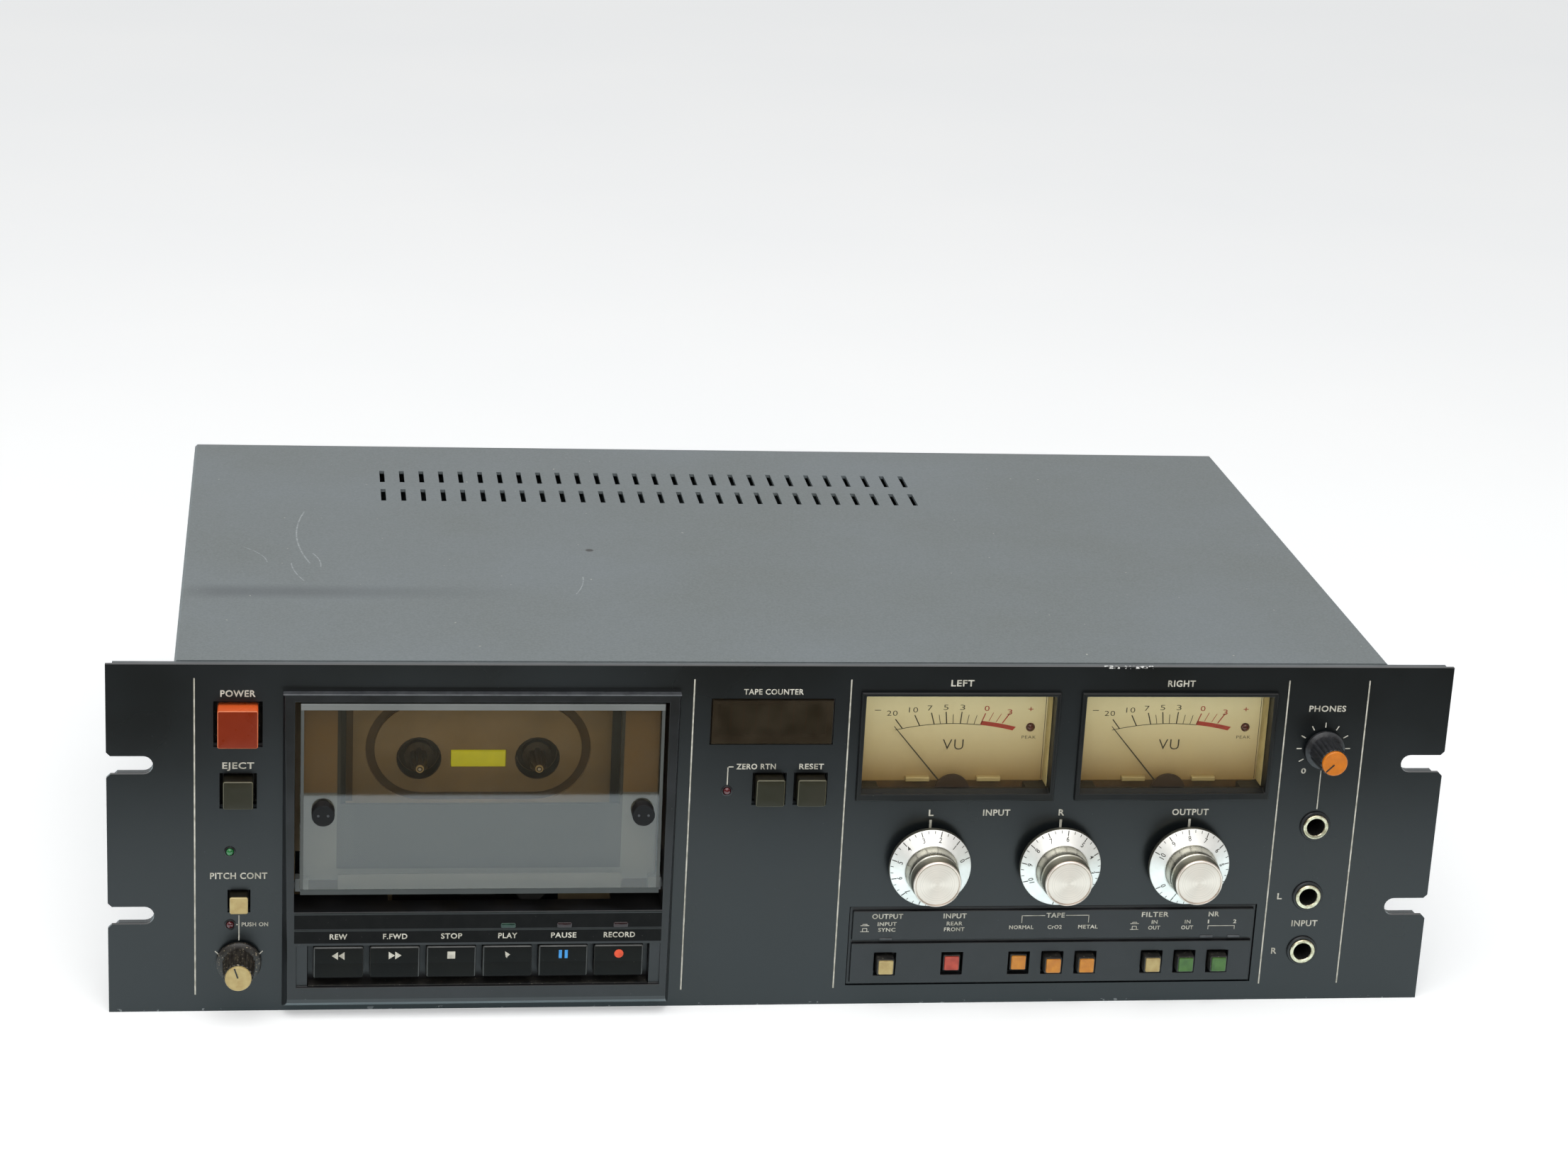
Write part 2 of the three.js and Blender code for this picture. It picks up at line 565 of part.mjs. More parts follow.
function doorWindow() {
  const height = WINDOW.z1 - WINDOW.z0;
  const front = wedge(WINDOW.x0, WINDOW.x1, 0, WINDOW_BEVEL, 0, height, WINDOW_BEVEL);
  const back = block(WINDOW.x0, WINDOW.x1, WINDOW_BEVEL - 0.05, WINDOW_THICK, 0, height);
  const notches = [];
  for (const [x, inward] of [[WINDOW.x0, 1], [WINDOW.x1, -1]]) {
    for (const [z0, z1] of [[-1, 2.6], [27, 32.5]]) {
      const x0 = Math.min(x, x + inward) - 0.3;
      const x1 = Math.max(x, x + inward) + 0.3;
      notches.push(block(x0, x1, -1, WINDOW_THICK + 1, z0, z1));
    }
  }
  return cut(join(front, back), ...notches);
}

function cassetteHolder() {
  const y0 = HOLDER_FRONT_Y;
  const y1 = y0 + HOLDER_SHEET;
  const bottom = POCKET.z0 - HOLDER_SHEET;
  const { x0: left, x1: right, z1: top } = POCKET;
  const frame = block(WINDOW.x0 + 1.3, WINDOW.x1 - 1.3, y0, y1, HINGE_Z + 1, top + 1.3);
  const frameOpening = block(left + 1.2, right - 1.2, y0 - 1, y1 + 1, HOLDER_PLATE_TOP, 80);
  const walls = [
    [left - HOLDER_WALL, left, HOLDER_LIP, HOLDER_LEDGE],
    [right, right + HOLDER_WALL, -HOLDER_LIP, -HOLDER_LEDGE],
  ];
  const sides = walls.flatMap(([x0, x1, over, under]) => [
    block(x0, x1, y1 - 0.5, HOLDER_BACK_Y, bottom, top),
    block(Math.min(x0, x1 + over), Math.max(x1, x0 + over), HOLDER_BACK_Y - 1.2, HOLDER_BACK_Y, bottom, top),
    block(Math.min(x0, x1 + under), Math.max(x1, x0 + under), y1 - 0.5, HOLDER_BACK_Y, bottom, POCKET.z0),
  ]);
  const bosses = DOOR_SCREWS.map(([x, z]) => rod(3, -1.3, y1 - 0.5, x, z, 10));
  const ears = [[BAY.x0, 1], [BAY.x1, -1]].flatMap(([x, inward]) => {
    const near = x + inward * GAP;
    const far = x + inward * 5;
    const tip = x - inward * (BAY_WALL - 0.4);
    return [
      block(Math.min(near, far), Math.max(near, far), -1.9, y1, HINGE_Z - 1.9, HINGE_Z + 3),
      crossRod(
        HINGE_PIN_RADIUS, Math.min(near + inward, tip), Math.max(near + inward, tip), HINGE_Y, HINGE_Z,
      ),
    ];
  });
  return join(cut(frame, frameOpening), ...sides, ...bosses, ...ears);
}

// Transport: back plate with spindle cups, spindles, capstan drive, heads and pinch roller

function hubX(side) {
  return HUB_MIDDLE_X + side * HUB_SPACING / 2;
}

function transportPlate() {
  const y0 = TRANSPORT_Y;
  const y1 = y0 + TRANSPORT_THICK;
  const x0 = BAY.x0 - BAY_WALL;
  const x1 = BAY.x1 + BAY_WALL;
  const sheet = block(x0, x1, y0, y1, TRANSPORT_Z0, TRANSPORT_Z1);
  const foot = block(x0, x1, y0, y1 + 12, TRANSPORT_Z0 - GAP, TRANSPORT_Z0 + 1.2);
  const cupEnd = y1 + WELL_CUP_DEPTH + WELL_CUP_WALL;
  const cups = [-1, 1].map((side) => rod(WELL_CUP_RADIUS + WELL_CUP_WALL, y1 - 0.5, cupEnd, hubX(side), HUB_Z, 16));
  const boss = rod(5, y1 - 0.5, y1 + 5, CAPSTAN_X, CAPSTAN_Z, 16);
  const tools = [-1, 1].flatMap((side) => [
    rod(WELL_CUP_RADIUS, y0 - 1, y1 + WELL_CUP_DEPTH, hubX(side), HUB_Z, 20),
    rod(2.2, y1 + 4, cupEnd + 0.5, hubX(side), HUB_Z, 12),
  ]);
  tools.push(rod(CAPSTAN_RADIUS + 0.3, y0 - 1, y1 + 6, CAPSTAN_X, CAPSTAN_Z, 12));
  const halfSlot = LIGHT_SLOT_WIDTH / 2;
  const lightTop = HUB_Z + LIGHT_SLOT_HEIGHT / 2;
  tools.push(block(
    HUB_MIDDLE_X - halfSlot, HUB_MIDDLE_X + halfSlot, y0 - 1, y1 + 1, lightTop - LIGHT_SLOT_HEIGHT, lightTop,
  ));
  const { halfWidth, z0, z1, radius, width, depth } = OVAL_GROOVE;
  const outside = roundedRectangle(HUB_MIDDLE_X - halfWidth, HUB_MIDDLE_X + halfWidth, z0, z1, radius);
  const within = halfWidth - width;
  outside.holes.push(
    roundedRectangle(HUB_MIDDLE_X - within, HUB_MIDDLE_X + within, z0 + width, z1 - width, radius - width),
  );
  tools.push(plate(outside, y0 - 1, y0 + depth, 4));
  tools.push(block(HEAD_SLOT.x0, HEAD_SLOT.x1, y0 - 1, y1 + 1, HEAD_SLOT.z0, HEAD_SLOT.z1));
  return cut(join(sheet, foot, ...cups, boss), ...tools);
}

function reelSpindle(side) {
  const x = hubX(side);
  const cupFloor = TRANSPORT_Y + TRANSPORT_THICK + WELL_CUP_DEPTH + WELL_CUP_WALL;
  const stem = turned([
    [0, SPINDLE_TIP_Y], [0.9, SPINDLE_TIP_Y + 0.2], [2.4, SPINDLE_TIP_Y + 2.6], [2.9, SPINDLE_TIP_Y + 4],
    [2.9, 26], [5.1, 26], [5.1, 27.4], [1.9, 27.4], [1.9, cupFloor + 0.6], [8, cupFloor + 0.6],
    [8, cupFloor + 4], [0, cupFloor + 4],
  ], x, HUB_Z, 14);
  const fins = [0, 1, 2].map((i) => {
    const geometry = new THREE.BoxGeometry(2.2, 9, 1.1);
    geometry.translate(3.3, 20, 0);
    geometry.rotateY((i * 2 * Math.PI) / 3 + Math.PI / 6);
    geometry.translate(x, 0, HUB_Z);
    return solid(geometry);
  });
  return join(stem, ...fins);
}

function capstanFlywheel() {
  return turned([
    [0, CAPSTAN_TIP_Y], [CAPSTAN_RADIUS, CAPSTAN_TIP_Y + 0.4], [CAPSTAN_RADIUS, 30], [4, 30.5],
    [4, FLYWHEEL_Y0], [FLYWHEEL_RADIUS, FLYWHEEL_Y0], [FLYWHEEL_RADIUS, FLYWHEEL_Y1], [FLYWHEEL_RADIUS - 5, FLYWHEEL_Y1],
    [FLYWHEEL_RADIUS - 6, FLYWHEEL_Y1 - 3], [0, FLYWHEEL_Y1 - 3],
  ], CAPSTAN_X, CAPSTAN_Z, 28);
}

function motorPulley() {
  return turned([
    [1.4, BELT_Y0 - 0.5], [PULLEY_RADIUS, BELT_Y0 - 0.5], [PULLEY_RADIUS, BELT_Y1 + 0.5],
    [1.4, BELT_Y1 + 0.5], [1.4, BELT_Y0 - 0.5],
  ], MOTOR_X, MOTOR_Z, 16);
}

function capstanMotor() {
  const plateY = 47;
  const can = turned([
    [0, plateY], [MOTOR_RADIUS, plateY], [MOTOR_RADIUS, plateY + MOTOR_LENGTH - 1.5],
    [MOTOR_RADIUS - 1.5, plateY + MOTOR_LENGTH], [0, plateY + MOTOR_LENGTH],
  ], MOTOR_X, MOTOR_Z, 20);
  const shaft = rod(1, BELT_Y0 - 1, plateY + 1, MOTOR_X, MOTOR_Z, 10);
  const flange = block(MOTOR_X - 18, MOTOR_X + 18, plateY - 1.5, plateY + 0.2, MOTOR_Z - 16, MOTOR_Z + 16);
  const posts = [-13, 13].map((dz) => {
    return rod(2, TRANSPORT_Y + TRANSPORT_THICK + GAP, plateY, MOTOR_X - 14.5, MOTOR_Z + dz, 8);
  });
  return join(can, shaft, flange, ...posts);
}

// The belt's outline at a distance from the flywheel and the pulley: two arcs and their tangents.
function beltOutline(distance) {
  const big = FLYWHEEL_RADIUS + distance;
  const small = PULLEY_RADIUS + distance;
  const away = Math.hypot(CAPSTAN_X - MOTOR_X, CAPSTAN_Z - MOTOR_Z);
  const turn = Math.atan2(CAPSTAN_Z - MOTOR_Z, CAPSTAN_X - MOTOR_X);
  const tangent = Math.acos((big - small) / away);
  const outline = new THREE.Shape();
  outline.absarc(CAPSTAN_X, CAPSTAN_Z, big, turn - Math.PI + tangent, turn + Math.PI - tangent);
  outline.absarc(MOTOR_X, MOTOR_Z, small, turn + Math.PI - tangent, turn + Math.PI + tangent);
  return outline;
}

function driveBelt() {
  const outline = beltOutline(GAP + BELT_THICK);
  outline.holes.push(beltOutline(GAP));
  return plate(outline, BELT_Y0, BELT_Y1, 7);
}

function headSlide() {
  const sheet = block(-141, -81, 19.5, 21, -36, -15);
  const erase = block(-136, -128, TAPE_Y - 4, 19.6, -23.5, -14);
  const foot = block(-125, -97, 19.5, 26, -44, -35);
  return join(sheet, erase, foot);
}

function tapeHead() {
  const x = -111;
  const body = block(x - 6, x + 6, TAPE_Y - 4.6, 19.2, -23.5, -15.5);
  const nose = turned([
    [0, TAPE_Y - 4], [6, TAPE_Y - 4], [6, TAPE_Y + 4], [0, TAPE_Y + 4],
  ], x, -19.2, 20).intersect(block(x - 5, x + 5, 0, 18, -18, -10));
  return join(body, nose);
}

function pinchArm() {
  const linkY = 16.6;
  const dx = ROLLER_REST_X - ARM_PIVOT_X;
  const dz = ROLLER_REST_Z - ARM_PIVOT_Z;
  const turn = Math.atan2(dz, dx);
  const outline = new THREE.Shape();
  outline.absarc(ROLLER_REST_X, ROLLER_REST_Z, 3, turn - Math.PI / 2, turn + Math.PI / 2);
  outline.absarc(ARM_PIVOT_X, ARM_PIVOT_Z, 3.6, turn + Math.PI / 2, turn + 1.5 * Math.PI);
  const link = plate(outline, linkY, linkY + 1.4, 6);
  const boss = rod(3, linkY + 1, TRANSPORT_Y - GAP, ARM_PIVOT_X, ARM_PIVOT_Z, 14);
  const axle = rod(1.2, TAPE_Y - 3.6, linkY + 0.5, ROLLER_REST_X, ROLLER_REST_Z, 10);
  return join(link, boss, axle);
}

function pinchRoller() {
  const y0 = TAPE_Y - 3.2;
  const y1 = TAPE_Y + 3.2;
  return turned([
    [1.5, y0], [ROLLER_RADIUS, y0], [ROLLER_RADIUS, y1], [1.5, y1], [1.5, y0],
  ], ROLLER_REST_X, ROLLER_REST_Z, 20);
}

// Buttons and keys: a cap with a bevelled face, a flange behind the plate and a stem

function pushButton({ x, z, cap, open, reach, travel }) {
  const [w, h] = open;
  const half = cap / 2;
  const flangeY = FRONT_PLATE_Y1 + 0.4;
  const face = wedge(x - half, x + half, -reach, -reach + 0.6, z - half, z + half, 0.5);
  const body = block(x - half, x + half, -reach + 0.55, flangeY + 0.5, z - half, z + half);
  const halfW = w / 2 + 0.8;
  const halfH = h / 2 + 0.8;
  const flange = block(x - halfW, x + halfW, flangeY, flangeY + 1, z - halfH, z + halfH);
  const stem = block(x - 1.5, x + 1.5, flangeY + 0.5, BOARD_Y0 - 3.4 - travel, z - 1.5, z + 1.5);
  return join(face, body, flange, stem);
}

function smallKey(key) {
  const x = smallKeyX(key);
  const z = SMALL_KEY_Z;
  const sunk = key.pressed ? SMALL_KEY_TRAVEL : 0;
  const front = SMALL_KEY_FRONT_Y + sunk;
  const half = SMALL_KEY_CAP / 2;
  const flangeY = FRONT_PLATE_Y1 + 0.4 + sunk;
  const face = wedge(x - half, x + half, front, front + 0.4, z - half, z + half, 0.3);
  const body = block(x - half, x + half, front + 0.35, flangeY + 0.5, z - half, z + half);
  const flange = block(x - 5.4, x + 5.4, flangeY, flangeY + 1, z - 5.9, z + 5.9);
  const stem = block(x - 1.2, x + 1.2, flangeY + 0.5, flangeY + 1.8, z - 1.2, z + 1.2);
  return join(face, body, flange, stem);
}

function transportKey(i) {
  const x = transportKeyX(i);
  const half = TRANSPORT_KEY_WIDTH / 2;
  const y0 = TRANSPORT_KEY_FRONT_Y;
  const z0 = TRANSPORT_KEY_Z0;
  const z1 = TRANSPORT_KEY_Z1;
  const face = wedge(x - half, x + half, y0, y0 + 0.7, z0, z1, 0.6);
  const body = block(x - half, x + half, y0 + 0.65, WELL_BACK_Y - TRANSPORT_KEY_TRAVEL - GAP, z0, z1);
  const neck = block(x - half + 1.8, x + half - 1.8, -5, 0.8, z0 + 1.8, z1 - 1.8);
  const flange = block(x - half + 0.8, x + half - 0.8, 0.2, 1.2, z0 + 0.8, z1 - 0.8);
  const stem = block(x - 2, x + 2, 1, 8, -46, -42);
  return join(face, body, neck, flange, stem);
}

// Knobs: the skirted level knob, and the small fluted knob with a flat collar

function levelKnob(x) {
  const y0 = -LEVEL_KNOB_REACH;
  return turned([
    [0, y0], [8.3, y0], [8.9, y0 + 0.6], [9, y0 + 5], [9.5, y0 + 9.5], [10.6, y0 + 12.6], [12, y0 + 14],
    [SKIRT_RADIUS, y0 + 15.2], [SKIRT_RADIUS, y0 + 17.5], [13.6, y0 + 17.5], [13.6, y0 + 16.6],
    [SHAFT_RADIUS, y0 + 16.6], [SHAFT_RADIUS, 12.2], [0, 12.2],
  ], x, LEVEL_KNOB_Z, 28);
}

function smallKnob({ x, z, collar }) {
  const y0 = -SMALL_KNOB_REACH;
  const flutes = 14;
  const outline = new THREE.Shape();
  for (let i = 0; i < 2 * flutes; i += 1) {
    const r = i % 2 ? 5.5 : 6.1;
    const turn = (i * Math.PI) / flutes;
    const corner = [x + r * Math.cos(turn), z + r * Math.sin(turn)];
    if (i === 0) outline.moveTo(...corner);
    else outline.lineTo(...corner);
  }
  outline.closePath();
  const body = plate(outline, y0 + 1.2, -3);
  const core = turned([
    [0, y0], [4.8, y0], [5.2, y0 + 0.5], [5.2, -3.2], [collar - 0.5, -2.8], [collar, -2.2], [collar, -0.9],
    [SHAFT_RADIUS, -0.9], [SHAFT_RADIUS, 12.2], [0, 12.2],
  ], x, z, 20);
  return join(body, core);
}

// Meters: housing with a sloped sill, window, dial with the movement behind it, and needle

function meterHousing(x) {
  const half = METER_WIDTH / 2;
  const front = -1.5;
  const flange = wedge(x - half, x + half, front, -GAP, METER_Z0, METER_Z1, 0.4);
  const box = block(x - 35.4, x + 35.4, -0.5, METER_BACK_Y, METER_Z0 + 2.1, METER_Z1 - 0.8);
  const lower = block(x - 28, x + 28, METER_WELL_Y, METER_BACK_Y, METER_WELL_Z, METER_Z0 + 3);
  const hollow = block(x - 34.6, x + 34.6, -3, METER_BACK_Y - 1.2, METER_Z0 + 3.1, METER_Z1 - 1.6);
  const lowerHollow = block(
    x - 27, x + 27, METER_WELL_Y + 0.8, METER_BACK_Y - 1.2, METER_WELL_Z + 1, METER_Z0 + 4,
  );
  const sillTop = [[front, METER_Z0 + 2.8], [2.1, METER_Z0 + 4.1]];
  const sill = bar([...sillTop, [2.1, METER_Z0 + 2.5], [front, METER_Z0 + 2.5]], x - 34.8, x + 34.8);
  return join(cut(join(flange, box, lower), hollow, lowerHollow), sill);
}

function meterWindow(x) {
  return block(x - 34.3, x + 34.3, METER_WINDOW_Y0, METER_WINDOW_Y1, METER_Z0 + 3.4, METER_Z1 - 1.9);
}

function meterDial(x) {
  const y0 = METER_DIAL_Y;
  const sheet = block(x - 34.2, x + 34.2, y0, y0 + 0.9, METER_Z0 + 3.5, METER_Z1 - 2);
  const movement = block(x - 14, x + 14, y0 + 0.5, METER_BACK_Y - 1.6, METER_WELL_Z + 1.3, METER_Z0 + 22);
  const cover = rod(PIVOT_COVER_RADIUS, 6, 6.9, x, METER_PIVOT_Z + 2.2, 24);
  const bridge = block(x - 3, x + 3, 6.1, y0 + 0.7, METER_WELL_Z + 1.3, METER_WELL_Z + 2.2);
  const lowest = block(x - 8, x + 8, 5, y0, METER_WELL_Z - 3, METER_WELL_Z + 1.3);
  return join(cut(cover, lowest), bridge, sheet, movement);
}

function meterNeedle(x) {
  const y = METER_NEEDLE_Y;
  const geometry = new THREE.BoxGeometry(0.5, 0.4, METER_NEEDLE_LENGTH);
  geometry.translate(0, y, METER_NEEDLE_LENGTH / 2);
  geometry.rotateY((-METER_REST_DEGREES * Math.PI) / 180);
  geometry.translate(x, 0, METER_PIVOT_Z);
  const hub = turned([[0, y - 1], [1.4, y - 1], [1.4, y + 1], [0, y + 1]], x, METER_PIVOT_Z, 12);
  return join(solid(geometry), hub);
}

function counterWindow() {
  const pane = wedge(COUNTER.x0, COUNTER.x1, -0.8, PANEL_THICK, COUNTER.z0, COUNTER.z1, 0.3);
  const tongue = block(COUNTER.x0 + 2.5, COUNTER.x1 - 2.5, 1, 4, COUNTER.z0 + 2.5, COUNTER.z1 - 2.5);
  return join(pane, tongue);
}

function switchEscutcheon() {
  const { x0, x1, z0, z1 } = ESCUTCHEON;
  const base = block(x0 + GAP, x1 - GAP, 0.4, PANEL_THICK, z0 + GAP, z1 - GAP);
  const upper = wedge(x0 + 1.2, x1 - 1.2, -1, 0.5, -40, z1 - 1.2, 0.2);
  const lower = wedge(x0 + 1.2, x1 - 1.2, -1, 0.5, z0 + 1.4, -41.2, 0.2);
  const keyOpenings = Object.values(SMALL_KEYS).map((key) => {
    const x = smallKeyX(key);
    return block(
      x - SMALL_KEY_WIDTH / 2, x + SMALL_KEY_WIDTH / 2, -3, 3,
      SMALL_KEY_Z - SMALL_KEY_HEIGHT / 2, SMALL_KEY_Z + SMALL_KEY_HEIGHT / 2,
    );
  });
  return cut(join(base, upper, lower), ...keyOpenings);
}

// Sockets

function jack(z) {
  const bush = turned([
    [JACK_BORE_RADIUS, -1.2], [JACK_BUSH_RADIUS - 0.4, -1.2], [JACK_BUSH_RADIUS, -0.8], [5.5, -0.8],
    [5.5, -GAP], [JACK_BUSH_RADIUS, -GAP], [JACK_BUSH_RADIUS, 6], [JACK_BORE_RADIUS, 6], [JACK_BORE_RADIUS, -1.2],
  ], JACK_X, z, 18);
  const housing = block(JACK_X - 8, JACK_X + 8, FRONT_PLATE_Y1 + GAP, 26, z - 7, z + 7);
  return join(cut(housing, rod(JACK_BORE_RADIUS, 0, 23, JACK_X, z, 18)), bush);
}

function phonoSockets() {
  const base = block(PHONO_X - 15.6, PHONO_X + 15.6, 250, REAR_PANEL_Y + 2.4, PHONO_Z - 15.6, PHONO_Z + 15.6);
  const back = block(PHONO_X - 19, PHONO_X + 19, 252, REAR_PANEL_Y - GAP, PHONO_Z - 19, PHONO_Z + 19);
  const barrels = [];
  const bores = [];
  for (const dx of [-PHONO_PITCH / 2, PHONO_PITCH / 2]) {
    for (const dz of [-PHONO_PITCH / 2, PHONO_PITCH / 2]) {
      barrels.push(rod(4.15, REAR_PANEL_Y + 2, PHONO_TIP_Y, PHONO_X + dx, PHONO_Z + dz, 14));
      bores.push(rod(1.6, REAR_PANEL_Y + 1, PHONO_TIP_Y + 1, PHONO_X + dx, PHONO_Z + dz, 8));
    }
  }
  return cut(join(base, back, ...barrels), ...bores);
}

function mainsInlet() {
  const y1 = REAR_PANEL_Y + REAR_PANEL_THICK + GAP + 2;
  const flange = wedge(INLET_X - 17, INLET_X + 17, y1 - 2, y1, INLET_Z - 13, INLET_Z + 13, 0);
  const body = block(INLET_X - 13.8, INLET_X + 13.8, 244, y1 - 1, INLET_Z - 10, INLET_Z + 10);
  const recess = new THREE.Shape([
    new THREE.Vector2(INLET_X - 12, INLET_Z - 8), new THREE.Vector2(INLET_X + 12, INLET_Z - 8),
    new THREE.Vector2(INLET_X + 12, INLET_Z + 4), new THREE.Vector2(INLET_X + 8, INLET_Z + 8),
    new THREE.Vector2(INLET_X - 8, INLET_Z + 8), new THREE.Vector2(INLET_X - 12, INLET_Z + 4),
  ]);
  const blades = [[-7, -2], [0, 2], [7, -2]].map(([dx, dz]) => {
    return block(INLET_X + dx - 1, INLET_X + dx + 1, 249, 262, INLET_Z + dz - 2, INLET_Z + dz + 2);
  });
  return join(cut(join(flange, body), plate(recess, 250, y1 + 1)), ...blades);
}

// Boards and power supply

function controlBoard() {
  const y1 = BOARD_Y0 + BOARD_THICK;
  const outline = new THREE.Shape([
    new THREE.Vector2(-212, -61), new THREE.Vector2(181, -61),
    new THREE.Vector2(181, 13), new THREE.Vector2(212, 13),
    new THREE.Vector2(212, 61), new THREE.Vector2(-38, 61),
    new THREE.Vector2(-38, -34), new THREE.Vector2(-183, -34),
    new THREE.Vector2(-183, 61), new THREE.Vector2(-212, 61),
  ]);
  const sheet = plate(outline, BOARD_Y0, y1);
  const meterCuts = METER_MIDDLES_X.map(
    (x) => opening(x - 36.2, x + 36.2, METER_WELL_Z - 0.5, METER_Z1, BOARD_Y0, y1),
  );
  const places = Object.values(BUTTONS).map(({ x, z }) => [x, z]);
  places.push(...Object.values(SMALL_KEYS).map((key) => [smallKeyX(key), SMALL_KEY_Z]));
  const half = SWITCH_BODY / 2;
  const bodies = places.map(
    ([x, z]) => block(x - half, x + half, BOARD_Y0 - 3, BOARD_Y0 + 0.5, z - half, z + half),
  );
  TRANSPORT_KEYS.forEach((name, i) => {
    const x = transportKeyX(i);
    bodies.push(block(x - 3, x + 3, BOARD_Y0 - 3.6, BOARD_Y0 + 0.5, -47, -41));
  });
  const knobs = [...LEVEL_KNOB_X.map((x) => ({ x, z: LEVEL_KNOB_Z })), PITCH_KNOB, PHONES_KNOB];
  const pots = knobs.map(({ x, z }) => rod(POT_RADIUS, BOARD_Y0 - 7, BOARD_Y0 + 0.5, x, z, 10));
  const potBores = knobs.map(({ x, z }) => rod(SHAFT_RADIUS + 0.5, BOARD_Y0 - 8, 12.6, x, z, 10));
  const display = block(COUNTER.x0 + 4, COUNTER.x1 - 4, 5, BOARD_Y0 + 0.5, COUNTER.z0 + 3, COUNTER.z1 - 3);
  return cut(join(cut(sheet, ...meterCuts), ...bodies, ...pots, display), ...potBores);
}

function mainBoard() {
  const { x0, x1, y0, y1, z: bottom } = MAIN_BOARD;
  const top = bottom + BOARD_THICK;
  const sheet = block(x0, x1, y0, y1, bottom, top);
  const capacitors = CAPACITORS.map(([x, y, r, h]) => upright(r, bottom + 1, top + h, x, y, 16));
  const blocks = BOARD_BLOCKS.map(([x, y, w, d, h]) => {
    return block(x - w / 2, x + w / 2, y - d / 2, y + d / 2, bottom + 1, top + h);
  });
  return join(sheet, ...capacitors, ...blocks);
}

function powerTransformer() {
  const x = TRANSFORMER_X;
  const y = TRANSFORMER_Y;
  const z0 = -HALF_HEIGHT + FLOOR_THICK + GAP;
  const base = block(x - 42, x + 42, y - 20, y + 20, z0, z0 + 2);
  const core = block(x - 32, x + 32, y - 18, y + 18, z0 + 1, z0 + 54);
  const coil = block(x - 20, x + 20, y - 28, y + 28, z0 + 11, z0 + 44);
  const corners = [[-1, -1], [-1, 1], [1, -1], [1, 1]].map(([a, b]) => {
    return upright(2, z0 - 0.1, z0 + 3, x + a * 37, y + b * 14, 8);
  });
  return cut(join(base, core, coil), ...corners);
}

// Assembly

addPiece("front_panel", frontPanel(), FINISHES.blackPaint);
addPiece("chassis", chassis(), FINISHES.greyPaint);
addPiece("top_cover", topCover(), FINISHES.coverPaint);
addPiece("rear_panel", rearPanel(), FINISHES.coverPaint);
addPiece("cassette_bezel", cassetteBezel(), FINISHES.blackPlastic);
const pane = addPiece("door_window", doorWindow(), FINISHES.smoked);
pane.position.set(0, WINDOW_FOOT_Y, WINDOW.z0);
pane.rotation.x = -Math.atan2(WINDOW_HEAD_Y - WINDOW_FOOT_Y, WINDOW.z1 - WINDOW.z0);
addPiece("cassette_holder", cassetteHolder(), FINISHES.blackPlastic);
addPiece("transport_plate", transportPlate(), FINISHES.blackPlastic);
addPiece("left_reel_spindle", reelSpindle(-1), FINISHES.blackPlastic);
addPiece("right_reel_spindle", reelSpindle(1), FINISHES.blackPlastic);
addPiece("capstan_flywheel", capstanFlywheel(), FINISHES.steel);
addPiece("capstan_motor", capstanMotor(), FINISHES.steel);
addPiece("motor_pulley", motorPulley(), FINISHES.steel);
addPiece("drive_belt", driveBelt(), FINISHES.rubber);
addPiece("head_slide", headSlide(), FINISHES.steel);
addPiece("tape_head", tapeHead(), FINISHES.steel);
addPiece("pinch_arm", pinchArm(), FINISHES.steel);
addPiece("pinch_roller", pinchRoller(), FINISHES.rubber);

const BUTTON_FINISHES = {
  power_button: FINISHES.redCap,
  eject_button: FINISHES.olive,
  pitch_button: FINISHES.cream,
  zero_return_button: FINISHES.olive,
  reset_button: FINISHES.olive,
};
for (const [name, button] of Object.entries(BUTTONS)) {
  addPiece(name, pushButton(button), BUTTON_FINISHES[name]);
}
for (const [name, key] of Object.entries(SMALL_KEYS)) {
  addPiece(name, smallKey(key), { color: key.color, roughness: 0.45, metalness: 0 });
}
TRANSPORT_KEYS.forEach((name, i) => addPiece(name, transportKey(i), FINISHES.blackPlastic));

["left_input_knob", "right_input_knob", "output_knob"].forEach((name, i) => {
  addPiece(name, levelKnob(LEVEL_KNOB_X[i]), FINISHES.aluminium);
});
addPiece("pitch_knob", smallKnob(PITCH_KNOB), FINISHES.blackPlastic);
addPiece("phones_knob", smallKnob(PHONES_KNOB), FINISHES.blackPlastic);

["left", "right"].forEach((side, i) => {
  const x = METER_MIDDLES_X[i];
  addPiece(`${side}_meter_housing`, meterHousing(x), FINISHES.blackPlastic);
  addPiece(`${side}_meter_window`, meterWindow(x), FINISHES.clear);
  addPiece(`${side}_meter_dial`, meterDial(x), FINISHES.dial);
  addPiece(`${side}_meter_needle`, meterNeedle(x), FINISHES.rubber);
});
addPiece("counter_window", counterWindow(), FINISHES.smoked);
addPiece("switch_escutcheon", switchEscutcheon(), FINISHES.blackPaint);

["phones_jack", "left_input_jack", "right_input_jack"].forEach((name, i) => {
  addPiece(name, jack(JACKS_Z[i]), FINISHES.nickel);
});
addPiece("phono_sockets", phonoSockets(), FINISHES.blackPlastic);
addPiece("mains_inlet", mainsInlet(), FINISHES.blackPlastic);
addPiece("control_board", controlBoard(), FINISHES.board);
addPiece("main_board", mainBoard(), FINISHES.board);
addPiece("power_transformer", powerTransformer(), FINISHES.steel);

export default deck;
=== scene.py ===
"""Finishes, small parts and lettering of a rack-mount cassette deck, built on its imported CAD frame.

Sizes are deck millimetres: x to the right, y into the deck and z up, from the middle of the panel's face.
"""

import functools
import math

